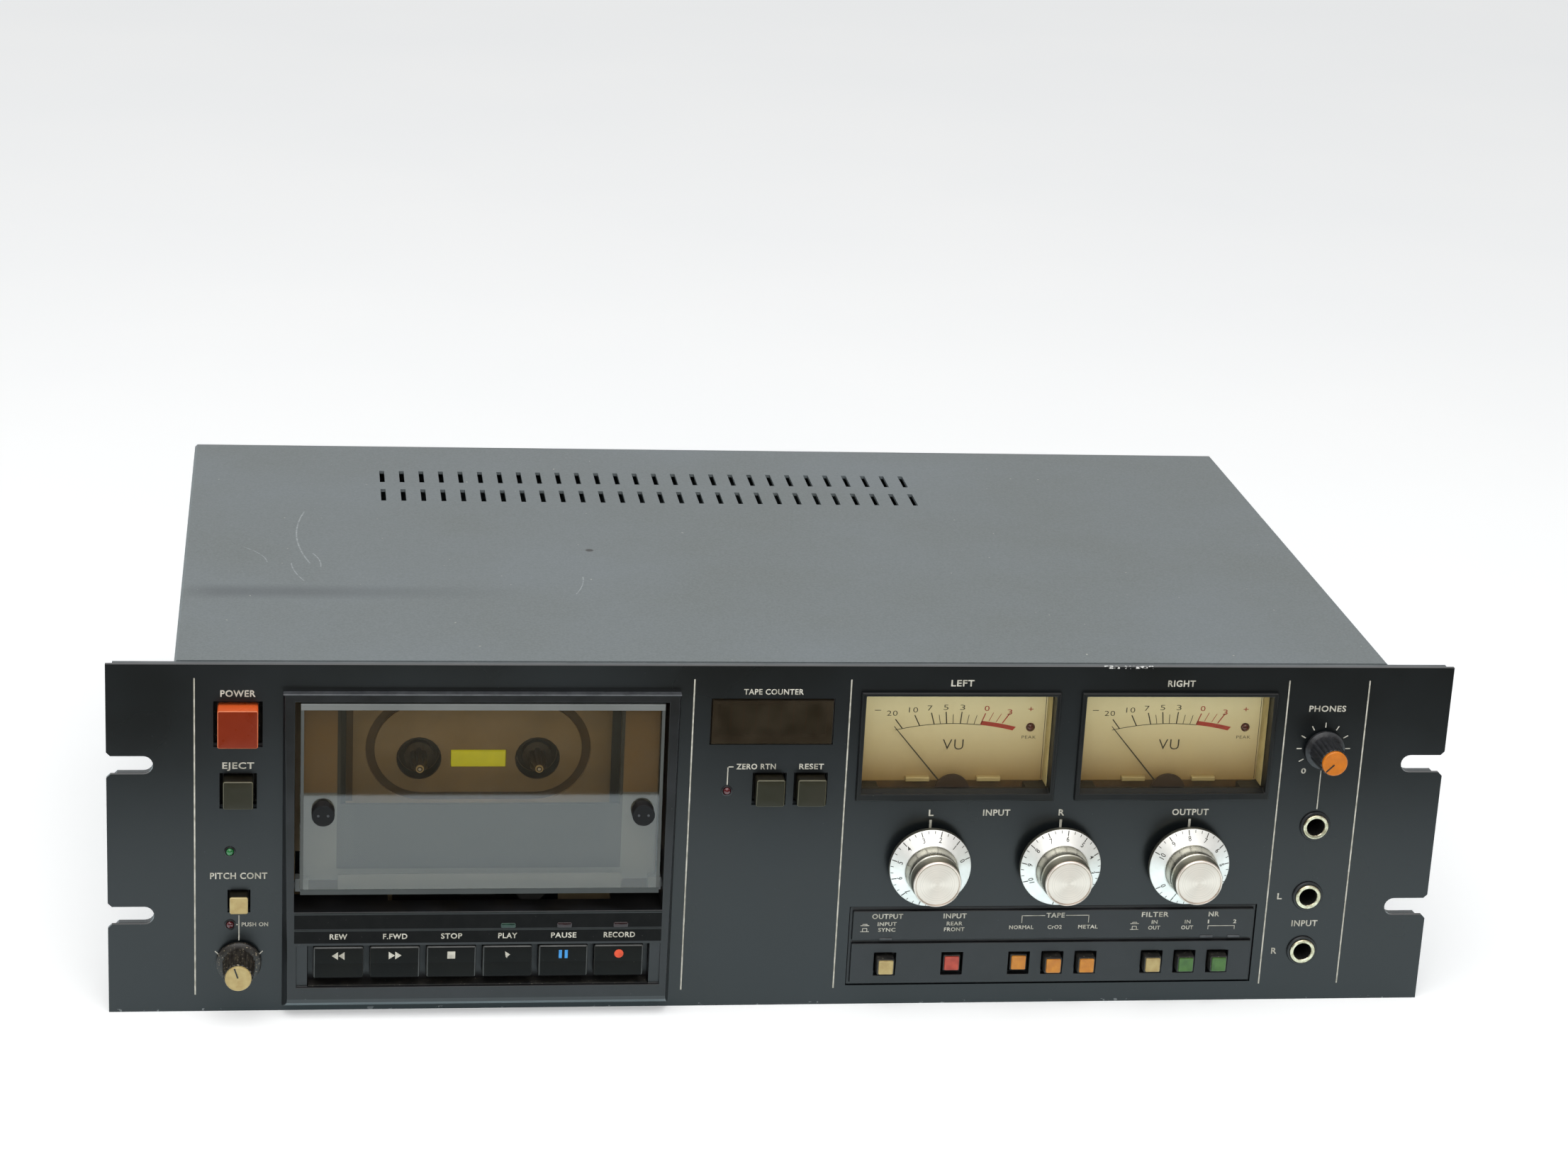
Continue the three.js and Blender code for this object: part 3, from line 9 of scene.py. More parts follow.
import bmesh
import bpy
import numpy as np
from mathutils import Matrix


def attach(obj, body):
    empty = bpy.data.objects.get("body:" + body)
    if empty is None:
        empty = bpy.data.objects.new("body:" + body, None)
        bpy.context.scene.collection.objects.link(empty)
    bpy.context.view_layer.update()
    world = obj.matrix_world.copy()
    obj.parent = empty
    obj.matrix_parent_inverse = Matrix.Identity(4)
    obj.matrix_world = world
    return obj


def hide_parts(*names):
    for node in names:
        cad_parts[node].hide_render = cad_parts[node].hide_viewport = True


bl_info = {
    "name": "Rack-mount cassette deck",
    "version": (1, 0, 0),
    "blender": (4, 5, 0),
    "location": "3D View > Sidebar > Cassette deck",
    "description": "Builds the finishes, small parts and lettering of a rack-mount cassette deck",
    "category": "Object",
}

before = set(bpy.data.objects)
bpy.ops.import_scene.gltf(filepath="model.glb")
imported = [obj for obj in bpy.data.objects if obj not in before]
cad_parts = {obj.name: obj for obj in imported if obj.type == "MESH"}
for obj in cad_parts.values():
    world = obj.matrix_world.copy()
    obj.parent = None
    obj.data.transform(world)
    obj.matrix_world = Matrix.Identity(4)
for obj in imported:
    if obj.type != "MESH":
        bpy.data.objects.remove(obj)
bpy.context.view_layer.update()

MM = 0.001
PANEL_FACE = np.array([0.0, -127.0, 66.0])

# The parts that small pieces sit on
PRINT_LIFT = 0.05
BEZEL_HEAD = (56.1, -2.8)
BEZEL_FOOT = (-58.2, -7.8)
METER_X = (59.6, 139.9)
METER_PIVOT_Z = 13.4
DIAL_FACE = 11.0
COVER_HALF_WIDTH = 218.0
KNOB_Z = -9.5
LEVEL_KNOBS = {"left_input_knob": (51.4, 2.45), "right_input_knob": (99.5, 6.25), "output_knob": (147.6, 7.8)}
TRANSPORT_KEYS = ("rewind_key", "fast_forward_key", "stop_key", "play_key", "pause_key", "record_key")
SMALL_KEYS = {
    "output_select_key": (0, "cream"), "input_select_key": (2, "red"), "tape_normal_key": (4, "orange"),
    "tape_chrome_key": (5, "orange"), "tape_metal_key": (6, "orange"), "filter_key": (8, "cream"),
    "noise_reduction_key": (9, "green"), "noise_type_key": (10, "green"),
}
JACKS = {"phones_jack": 4.0, "left_input_jack": -24.0, "right_input_jack": -46.0}
RIGHT_COLUMN_X = 195.2
PHONES_Z = 34.6
PITCH_X = -195.6
BAY_X = -111.0
SPINDLE_Z = 22.3
SMALL_KEY_X = 37.8
SMALL_KEY_STEP = 12.5
SMALL_KEY_Z = -49.65
TRANSPORT_KEY_X = -160.6
TRANSPORT_KEY_STEP = 20.0
TRANSPORT_KEY_TOP = -38.1
REAR_FACE = 263.9

# The door's pane leans back from its foot to its head
PANE_FOOT_Z = -18.4
PANE_HEAD_Z = 52.4
PANE_FRONT = -6.3
PANE_SLOPE = 3.4 / 70.8

# The level knob's skirt as (radius, depth), and the circle that the meter's scale follows
SKIRT_CONE = np.array([(9.6, -8.4), (10.4, -7.6), (14.6, -5.95), (15.0, -5.7)])
SCALE_Z = 40.05
SCALE_RADIUS = 91.0

# The built-in type: its capitals' share of its size, the room between letters, and its narrowing
CAPITAL_SHARE = 0.729
LETTER_SPACING = 1.1
LETTER_STRETCH = 0.95

# Index of refraction with which one face of a clear sheet mirrors as much as its two faces do
CLEAR_SHEET_INDEX = 1.78


def linear(hex_colour):
    """An sRGB hex colour as linear red, green, blue and alpha: v / 12.92 below 0.04045, else ((v + 0.055) /
    1.055) ^ 2.4."""
    value = np.array([int(hex_colour[i:i + 2], 16) for i in (1, 3, 5)]) / 255.0
    light = np.where(value <= 0.04045, value / 12.92, ((value + 0.055) / 1.055) ** 2.4)
    return (*light.tolist(), 1.0)


def colour_choice(name, hex_colour, description):
    """A colour that the user may change."""
    return bpy.props.FloatVectorProperty(
        name=name, description=description, subtype="COLOR", size=4, min=0.0, max=1.0,
        default=linear(hex_colour))


def length_choice(name, millimetres, description):
    """A length that the user may change."""
    return bpy.props.FloatProperty(
        name=name, description=description, default=millimetres * MM, min=0.0, unit="LENGTH", precision=5)


class DeckColours(bpy.types.PropertyGroup):
    """Colours of the painted, moulded and printed parts"""
    panel: colour_choice("Panel", "#0d1112", "Baked enamel of the front panel")
    cover: colour_choice("Cover", "#5a6160", "Textured enamel of the top cover")
    moulding: colour_choice("Moulding", "#0d0e0f", "Black moulded frames and keys")
    printing: colour_choice("Printing", "#cfccbf", "Screen-printed lettering")
    power: colour_choice("Power", "#7a2404", "Cap of the power button")
    olive: colour_choice("Olive", "#29281a", "Caps of the eject, zero return and reset buttons")
    cream: colour_choice("Cream", "#baa770", "Cream caps")
    red: colour_choice("Red", "#bc4a36", "Red caps")
    orange: colour_choice("Orange", "#cc8629", "Orange caps")
    green: colour_choice("Green", "#466f2e", "Green caps")
    smoke: colour_choice("Smoke", "#f0ebe2", "What one face of the smoked door pane lets through")
    card_top: colour_choice("Card, top", "#f0e8c4", "Meter card at its upper edge")
    card_foot: colour_choice("Card, foot", "#8a6b38", "Meter card at its lower edge")


class DeckSizes(bpy.types.PropertyGroup):
    """Sizes of the printing and of the rounded edges"""
    line_width: length_choice("Line width", 0.5, "Width of the long printed lines")
    letter_height: length_choice("Letter height", 2.45, "Height of the capitals on the panel")
    edge_round: length_choice("Edge rounding", 0.35, "Rounding of the moulded and folded edges")


class DeckStage(bpy.types.PropertyGroup):
    """Light and camera of the stage"""
    lens: bpy.props.FloatProperty(
        name="Lens", description="Focal length of the camera", default=79.13, min=20.0, unit="CAMERA")
    soft_lamp: bpy.props.FloatProperty(
        name="Soft lamp", description="Power of the overhead soft lamp", default=11.0, min=0.0, unit="POWER")
    front_lamp: bpy.props.FloatProperty(
        name="Front lamp", description="Power of the soft lamp over the camera", default=9.0, min=0.0,
        unit="POWER")
    room_light: bpy.props.FloatProperty(
        name="Room light", description="Strength of the even light of the room", default=0.54, min=0.0)
    pane_table_edge: length_choice("Table edge in the pane", 275.0,
                                   "How far the table shows in the cassette door's pane")
    panel_table_edge: length_choice("Table edge in the panel", 195.0,
                                    "How far the table shows in the panel and the meters")


# Shapes: each is an array of points in deck millimetres and a list of faces

def placed(points):
    """Deck millimetres as metres of the frame: the panel face's middle is added, then all is divided by
    1000."""
    return (np.asarray(points, dtype=float) + PANEL_FACE) * MM


def skin(points, close_columns=False, close_rows=False, caps=False):
    """Quads over a grid of points: face (i, j) joins (i, j), (i+1, j), (i+1, j+1), (i, j+1).

    A closed direction joins its last line to its first, and caps are one flat face over the first and last
    row.
    """
    points = np.asarray(points, dtype=float)
    rows, columns = points.shape[:2]
    index = np.arange(rows * columns).reshape(rows, columns)
    below = np.roll(index, -1, axis=0)
    quads = np.stack([index, below, np.roll(below, -1, axis=1), np.roll(index, -1, axis=1)], axis=-1)
    quads = quads[:rows if close_rows else rows - 1, :columns if close_columns else columns - 1]
    faces = quads.reshape(-1, 4).tolist()
    if caps:
        faces.append(index[0, ::-1].tolist())
        faces.append(index[-1].tolist())
    return points.reshape(-1, 3), faces


def together(shapes):
    """Several shapes as one: each shape's faces count on from the points before it."""
    points = []
    faces = []
    count = 0
    for shape_points, shape_faces in shapes:
        points.append(shape_points)
        faces.extend([[corner + count for corner in face] for face in shape_faces])
        count += len(shape_points)
    return np.concatenate(points), faces


def turned(profile, x, z, steps=64, flutes=0, flute_depth=0.0, fluted=(1e9, -1e9), ring=False):
    """A profile of (radius, depth) turned about the line into the deck at (x, z).

    Point (i, t) = (x + r sin t, depth, z + r cos t), where r is the profile's radius, less
    flute_depth * (1 - |cos(flutes * t / 2)|) for depths in the fluted stretch.
    """
    radius, depth = np.asarray(profile, dtype=float).T
    turn = np.linspace(0.0, 2.0 * np.pi, steps, endpoint=False)
    cut = flute_depth * (1.0 - np.abs(np.cos(flutes * turn / 2.0)))
    inside = ((depth >= fluted[0]) & (depth <= fluted[1])).astype(float)
    reach = np.maximum(radius[:, None] - inside[:, None] * cut[None, :], 0.0)
    points = np.stack([x + reach * np.sin(turn), np.repeat(depth[:, None], steps, axis=1),
                       z + reach * np.cos(turn)], axis=-1)
    return skin(points, close_columns=True, close_rows=ring)


def rounded_outline(width, height, radius, steps=6):
    """Four quarter circles at the corners of a rectangle, counter-clockwise seen from the front, as (x,
    z)."""
    radius = min(radius, width / 2 - 0.01, height / 2 - 0.01)
    turn = np.linspace(0.0, np.pi / 2, steps + 1)
    quarter = np.arange(4)[:, None] * np.pi / 2 + turn[None, :]
    sign_x = np.array([1, -1, -1, 1])[:, None]
    sign_z = np.array([1, 1, -1, -1])[:, None]
    x = sign_x * (width / 2 - radius) + radius * np.cos(quarter)
    z = sign_z * (height / 2 - radius) + radius * np.sin(quarter)
    return np.stack([x.ravel(), z.ravel()], axis=-1)


def leaned(shape, slope, z0):
    """A shape leaned back about the line at height z0: each point's depth grows by slope * (z - z0)."""
    points, faces = shape
    shift = np.stack([np.zeros(len(points)), slope * (points[:, 2] - z0), np.zeros(len(points))], axis=-1)
    return points + shift, faces


def on_cheek(profile, side, y, z):
    """A profile of (radius, height) turned about a line out of the cover's side.

    Point (i, t) = (side * (218 + height), y + r sin t, z + r cos t), with side -1 for the left and 1 for the
    right.
    """
    points, faces = turned(profile, 0.0, z, steps=32)
    return np.stack([side * (COVER_HALF_WIDTH + points[:, 1]), y + points[:, 0], points[:, 2]],
                    axis=-1), faces


def slab(x, z, width, height, radius, profile):
    """A rounded rectangle carried along a profile of (inset, depth): each row is the outline drawn in by its
    inset."""
    rows = [rounded_outline(width - 2 * inset, height - 2 * inset, max(radius - inset, 0.05))
            for inset, _ in profile]
    outline = np.array(rows)
    depth = np.array([row[1] for row in profile])[:, None] * np.ones(outline.shape[1])
    points = np.stack([x + outline[..., 0], depth, z + outline[..., 1]], axis=-1)
    return skin(points, close_columns=True, caps=True)


def carried(section, stations):
    """A closed section of (depth, z) carried along x.

    At each station (x, shrink) the section is drawn towards its middle by shrink millimetres: p' = m + (p -
    m)(1 - s / h), where h is half its size in that direction.
    """
    section = np.asarray(section, dtype=float)
    middle = (section.max(axis=0) + section.min(axis=0)) / 2
    half = (section.max(axis=0) - section.min(axis=0)) / 2
    along = np.asarray(stations, dtype=float)
    drawn = middle + (section[None] - middle) * (1.0 - along[:, 1, None, None] / half)
    x = np.repeat(along[:, 0, None], len(section), axis=1)
    points = np.stack([x, drawn[..., 0], drawn[..., 1]], axis=-1)
    return skin(points, close_columns=True, caps=True)


def panel_depth(x, z):
    """The printed face of the panel."""
    return np.full_like(x, -PRINT_LIFT)


def bezel_depth(x, z):
    """The leaning face of the cassette bezel: depth grows evenly from its head to its foot."""
    share = (BEZEL_HEAD[0] - z) / (BEZEL_HEAD[0] - BEZEL_FOOT[0])
    return BEZEL_HEAD[1] + (BEZEL_FOOT[1] - BEZEL_HEAD[1]) * share - PRINT_LIFT


def at_depth(depth):
    """A flat printed face at one depth."""
    return lambda x, z: np.full_like(x, depth - PRINT_LIFT)


def laid(flat, depth=panel_depth):
    """Points (x, z) laid on a face: y comes from the face's own depth at that place."""
    flat = np.asarray(flat, dtype=float)
    return np.stack([flat[..., 0], depth(flat[..., 0], flat[..., 1]), flat[..., 1]], axis=-1)


def stroke(path, width, depth=panel_depth):
    """A printed line: each point of the path moves half the width to both sides, square to the path there."""
    path = np.asarray(path, dtype=float)
    along = np.gradient(path, axis=0)
    along /= np.linalg.norm(along, axis=1, keepdims=True)
    across = np.stack([-along[:, 1], along[:, 0]], axis=-1) * width / 2
    return skin(laid(np.stack([path - across, path + across], axis=1), depth))


def frame_patch(x, z, width, height, radius, line, depth=panel_depth):
    """A printed frame: the quads between a rounded rectangle and the same one drawn in by the line's
    width."""
    outside = rounded_outline(width, height, radius, 10)
    inside = rounded_outline(width - 2 * line, height - 2 * line, max(radius - line, 0.05), 10)
    return skin(laid(np.stack([outside, inside], axis=1) + (x, z), depth), close_rows=True)


def disc(x, z, radius, depth=panel_depth):
    """A printed dot: a circle as one face, counter-clockwise seen from the front."""
    turn = np.linspace(0.0, 2.0 * np.pi, 24, endpoint=False)
    flat = np.stack([x + radius * np.cos(turn), z + radius * np.sin(turn)], axis=-1)
    return laid(flat, depth), [list(range(len(flat)))]


def patch(corners, depth=panel_depth):
    """A printed area inside its corners, counter-clockwise seen from the front."""
    return laid(corners, depth), [list(range(len(corners)))]


def arc(x, z, radius, start, end, steps=24):
    """Points of a circle from one angle to another, in degrees to the left of straight up."""
    turn = np.radians(np.linspace(start, end, steps))
    return np.stack([x - radius * np.sin(turn), z + radius * np.cos(turn)], axis=-1)


def lettering(entries, depth=panel_depth, weight=0.03):
    """Words set in the plain built-in type: each entry is (words, x, z, height of the capitals, width).

    The strokes are widened to each side by weight times the height. A letter's point (u, v) goes to
    (x + s (u - m), z + v), then onto the face, where m is the middle of the words and s makes them as wide as
    asked. A width of 0 takes the type's own narrowing for s.
    """
    shapes = []
    for words, x, z, height, width in entries:
        curve = bpy.data.curves.new("words", type="FONT")
        curve.body = words
        curve.size = height / CAPITAL_SHARE
        curve.offset = weight * height
        curve.space_character = LETTER_SPACING
        curve.align_y = "CENTER"
        curve.resolution_u = 3
        holder = bpy.data.objects.new("words", curve)
        bpy.context.scene.collection.objects.link(holder)
        mesh = bpy.data.meshes.new_from_object(holder)
        flat = np.empty(len(mesh.vertices) * 3)
        mesh.vertices.foreach_get("co", flat)
        flat = flat.reshape(-1, 3)[:, :2]
        faces = [list(face.vertices) for face in mesh.polygons]
        bpy.data.objects.remove(holder)
        bpy.data.meshes.remove(mesh)
        bpy.data.curves.remove(curve)
        left, right = flat[:, 0].min(), flat[:, 0].max()
        scale = width / (right - left) if width else LETTER_STRETCH
        shapes.append((laid((flat - ((left + right) / 2, 0.0)) * (scale, 1.0) + (x, z), depth), faces))
    return together(shapes)


def pane_front(x, z):
    """The door pane's front face: depth grows evenly with the height over the pane's foot."""
    return PANE_FRONT + PANE_SLOPE * (z - PANE_FOOT_Z) - PRINT_LIFT


def strip_depth(x, z):
    """The leaning face of the bezel, for the dark strips that lie under its printing."""
    return bezel_depth(x, z) + PRINT_LIFT * 0.4


def on_skirt(flat, angle, x):
    """A flat mark (u, v) on the skirt of the level knob at x: r = v, and its turn to the right is u / r less
    the angle."""
    turn = flat[:, 0] / flat[:, 1] - math.radians(angle)
    depth = np.interp(flat[:, 1], SKIRT_CONE[:, 0], SKIRT_CONE[:, 1]) - 0.06
    return np.stack([x + flat[:, 1] * np.sin(turn), depth, KNOB_Z + flat[:, 1] * np.cos(turn)], axis=-1)


def level_knob_finish(middles, x):
    """Numbers of the finishes of a level knob's faces: 0 on the cap, 1 on the skirt beyond 10 mm, 2 on the
    neck, and 3 on the cap's band and the rim."""
    reach = np.hypot(middles[:, 0] - x, middles[:, 2] - KNOB_Z)
    back = middles[:, 1] + 20.0
    band = (reach > 14.8) | ((reach > 8.6) & (back > 0.0) & (back < 4.4))
    return np.select([band, reach > 10.0, (reach > 8.8) & (back > 0.0)], [3, 1, 2], 0)


def button_finish(middles, front):
    """Numbers of the finishes of a button's faces: 0 in front, 2 on the rounded edge, which is painted
    lighter as a highlight, and 1 on the sides.
    """
    back = middles[:, 1] - front
    return np.where(back > 0.45, 1, np.where(back > 0.08, 2, 0))


def transport_key_finish(middles, x):
    """True on the rounded head edge and the two rounded ends of the transport key at x, which take a painted
    highlight.
    """
    on_head = (middles[:, 2] > TRANSPORT_KEY_TOP - 0.55) & (middles[:, 1] < -6.8)
    on_ends = (np.abs(middles[:, 0] - x) > 8.45) & (middles[:, 1] < -6.6)
    return on_head | on_ends


def key_symbol(node, x, z, face):
    """The printed symbol of a transport key and its ink."""
    if node in ("rewind_key", "fast_forward_key"):
        side = -1.0 if node == "rewind_key" else 1.0
        arrows = []
        for start in (-2.2, 0.1):
            back = x + side * start
            corners = [(back, z + 1.5), (back, z - 1.5), (x + side * (start + 2.2), z)]
            arrows.append(patch(corners if side > 0 else corners[::-1], face))
        return together(arrows), "screen_print_pale"
    if node == "stop_key":
        square = [(x - 1.4, z - 1.4), (x + 1.4, z - 1.4), (x + 1.4, z + 1.4), (x - 1.4, z + 1.4)]
        return patch(square, face), "screen_print_pale"
    if node == "play_key":
        pointer = [(x - 0.9, z + 1.3), (x - 0.6, z - 0.9), (x - 0.1, z - 1.4), (x + 0.1, z - 0.7),
                   (x + 1.0, z)]
        return patch(pointer, face), "screen_print_pale"
    if node == "pause_key":
        bars = [patch([(x + a, z - 1.6), (x + a + 1.1, z - 1.6), (x + a + 1.1, z + 1.6), (x + a, z + 1.6)],
                      face)
                for a in (-1.6, 0.5)]
        return together(bars), "screen_print_blue"
    return disc(x, z, 1.65, face), "screen_print_orange"


def piece(name, shape, finishes, body="deck", stands_for=(), smooth=38.0, solid=True, chosen=None):
    """Puts a shape into the scene as one piece that moves with a body.

    A solid has its doubled points merged and its faces turned outwards. With several finishes, chosen takes
    the middles of the faces in deck millimetres and gives the number of each face's finish.
    """
    points, faces = shape
    mesh = bpy.data.meshes.new(name)
    mesh.from_pydata(placed(points).tolist(), [], faces)
    if solid:
        work = bmesh.new()
        work.from_mesh(mesh)
        bmesh.ops.remove_doubles(work, verts=work.verts, dist=1e-6)
        bmesh.ops.recalc_face_normals(work, faces=work.faces)
        work.to_mesh(mesh)
        work.free()
    mesh.polygons.foreach_set("use_smooth", np.ones(len(mesh.polygons), dtype=bool))
    mesh.set_sharp_from_angle(angle=math.radians(smooth))
    names = [finishes] if isinstance(finishes, str) else finishes
    for finish_name in names:
        mesh.materials.append(finish(finish_name))
    if chosen is not None:
        middles = np.empty(len(mesh.polygons) * 3)
        mesh.polygons.foreach_get("center", middles)
        middles = middles.reshape(-1, 3) / MM - PANEL_FACE
        mesh.polygons.foreach_set("material_index", chosen(middles).astype(np.int32))
    mesh.update()
    made = bpy.data.objects.new(name, mesh)
    bpy.context.scene.collection.objects.link(made)
    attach(made, body)
    if stands_for:
        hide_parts(*stands_for)
    return made


def dress(node, finish_name, rounding=0.0, segments=2):
    """Gives a CAD node its finish and, with live modifiers only, rounds its edges."""
    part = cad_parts[node]
    part.material_slots[0].link = "OBJECT"
    part.material_slots[0].material = finish(finish_name)
    if rounding:
        weld = part.modifiers.new("Weld", "WELD")
        weld.merge_threshold = 0.00001
        whole = part.modifiers.new("Whole flats", "DECIMATE")
        whole.decimate_type = "DISSOLVE"
        whole.angle_limit = math.radians(0.5)
        bevel = part.modifiers.new("Rounded edges", "BEVEL")
        bevel.width = rounding
        bevel.segments = segments
        bevel.limit_method = "ANGLE"
        bevel.angle_limit = math.radians(35.0)
        bevel.loop_slide = False
        even = part.modifiers.new("Even flats", "WEIGHTED_NORMAL")
        even.keep_sharp = True


# Finishes

def add_node(tree, kind, inputs, **options):
    """Adds a node: options are its own settings, and an input given as a socket is linked."""
    made = tree.nodes.new(kind)
    for option, value in options.items():
        setattr(made, option, value)
    for name, value in inputs.items():
        if isinstance(value, bpy.types.NodeSocket):
            tree.links.new(value, made.inputs[name])
        else:
            made.inputs[name].default_value = value
    return made


def new_finish(name):
    """An empty finish and its place socket, which reads Object coordinates."""
    material = bpy.data.materials.new(name)
    material.use_nodes = True
    tree = material.node_tree
    tree.nodes.clear()
    return tree, add_node(tree, "ShaderNodeTexCoord", {}).outputs["Object"]


def blended(tree, share, first, second):
    """The colour socket of a mix of two colours."""
    mix = add_node(tree, "ShaderNodeMix", {"Factor": share, 6: first, 7: second}, data_type="RGBA")
    return mix.outputs[2]


def worked_out(tree, operation, *values):
    """The socket of a sum on numbers."""
    return add_node(tree, "ShaderNodeMath", dict(enumerate(values)), operation=operation).outputs[0]


def shared_out(tree, value, low, high, to_low=0.0, to_high=1.0):
    """A number from one range spread evenly over another, and held at its ends."""
    spread = add_node(tree, "ShaderNodeMapRange", {
        "Value": value, "From Min": low, "From Max": high, "To Min": to_low, "To Max": to_high})
    return spread.outputs["Result"]


def speckle(tree, place, size_mm, detail=3.0, rough=0.55):
    """A noise whose blots are about size_mm wide."""
    noise = add_node(tree, "ShaderNodeTexNoise", {
        "Vector": place, "Scale": 1.0 / (size_mm * MM), "Detail": detail, "Roughness": rough})
    return noise.outputs["Fac"]


def finished_with(tree, shader):
    """Joins a shader node to the surface and hands back the finish."""
    add_node(tree, "ShaderNodeOutputMaterial", {"Surface": shader.outputs[0]})
    return next(material for material in bpy.data.materials if material.node_tree == tree)


def grained(name, base, other, roughness, patch_mm=14.0, grain_mm=0.6, depth_mm=0.02, spread=0.14,
            rough_drift=0.05, specks=None, **shader):
    """A finish that drifts between two shades in soft patches and has a fine skin.

    Specks are (colour, size_mm, threshold): noise above the threshold takes that colour, as dust or chips do.
    """
    tree, place = new_finish(name)
    patches = speckle(tree, place, patch_mm)
    colour = blended(tree, shared_out(tree, patches, 0.5 - spread, 0.5 + spread), base, other)
    if specks:
        dots = speckle(tree, place, specks[1], detail=1.0)
        colour = blended(tree, shared_out(tree, dots, specks[2], specks[2] + 0.02), colour, specks[0])
    skin_height = speckle(tree, place, grain_mm, detail=2.0)
    bump = add_node(tree, "ShaderNodeBump", {"Height": skin_height, "Distance": depth_mm * MM,
                                             "Strength": 0.6})
    gloss = shared_out(tree, patches, 0.3, 0.7, roughness - rough_drift, roughness + rough_drift)
    surface = add_node(tree, "ShaderNodeBsdfPrincipled", {
        "Base Color": colour, "Roughness": gloss, "Normal": bump.outputs["Normal"], **shader})
    return finished_with(tree, surface)


def panel_enamel(name):
    """Baked satin enamel on an aluminium plate: near black, slightly wavy, with bare chips along its lower
    edge and white scuffs on its top edge."""
    tree, place = new_finish(name)
    axes = add_node(tree, "ShaderNodeSeparateXYZ", {"Vector": place}).outputs
    base = bpy.context.scene.deck_colours.panel
    cloud = speckle(tree, place, 60.0)
    colour = blended(tree, shared_out(tree, cloud, 0.35, 0.65), tuple(base), linear("#12171a"))
    lint = speckle(tree, place, 0.9, detail=1.0)
    colour = blended(tree, shared_out(tree, lint, 0.78, 0.8), colour, linear("#33363a"))
    chips = speckle(tree, place, 3.0)
    low_edge = worked_out(tree, "LESS_THAN", axes["Z"], 0.0011)
    chipped = worked_out(tree, "MULTIPLY", low_edge, shared_out(tree, chips, 0.65, 0.67))
    top_edge = worked_out(tree, "GREATER_THAN", axes["Z"], 0.1314)
    right_of = worked_out(tree, "GREATER_THAN", axes["X"], 0.111)
    left_of = worked_out(tree, "LESS_THAN", axes["X"], 0.129)
    stretch = worked_out(tree, "MULTIPLY", worked_out(tree, "MULTIPLY", right_of, left_of), top_edge)
    scuffed = worked_out(tree, "MULTIPLY", stretch, shared_out(tree, speckle(tree, place, 1.6), 0.53, 0.56))
    colour = blended(tree, chipped, colour, linear("#6a6d6e"))
    colour = blended(tree, scuffed, colour, linear("#d8d8d4"))
    waves = speckle(tree, place, 1.4, detail=2.0)
    bump = add_node(tree, "ShaderNodeBump", {"Height": waves, "Distance": 0.012 * MM, "Strength": 0.5})
    surface = add_node(tree, "ShaderNodeBsdfPrincipled", {
        "Base Color": colour, "Roughness": shared_out(tree, cloud, 0.3, 0.7, 0.26, 0.33),
        "Normal": bump.outputs["Normal"]})
    return finished_with(tree, surface)


def scratch(tree, axes, start, end, bow, width):
    """The share of a thin scratch: 1 where |x - line(t)| is under half its width and t = (y - y0) / (y1 - y0)
    is between 0 and 1, with line(t) = x0 + (x1 - x0) t + 4 bow t (1 - t). All in frame metres."""
    t = add_node(tree, "ShaderNodeMapRange", {
        "Value": axes["Y"], "From Min": start[1], "From Max": end[1]}, clamp=False).outputs["Result"]
    rest = worked_out(tree, "SUBTRACT", 1.0, t)
    hump = worked_out(tree, "MULTIPLY", worked_out(tree, "MULTIPLY", t, rest), 4.0 * bow)
    line = worked_out(tree, "ADD", worked_out(tree, "MULTIPLY_ADD", t, end[0] - start[0], start[0]), hump)
    off = worked_out(tree, "ABSOLUTE", worked_out(tree, "SUBTRACT", axes["X"], line))
    near = worked_out(tree, "LESS_THAN", off, width / 2)
    along = worked_out(tree, "GREATER_THAN", worked_out(tree, "MULTIPLY", t, rest), 0.0)
    return worked_out(tree, "MULTIPLY", near, along)


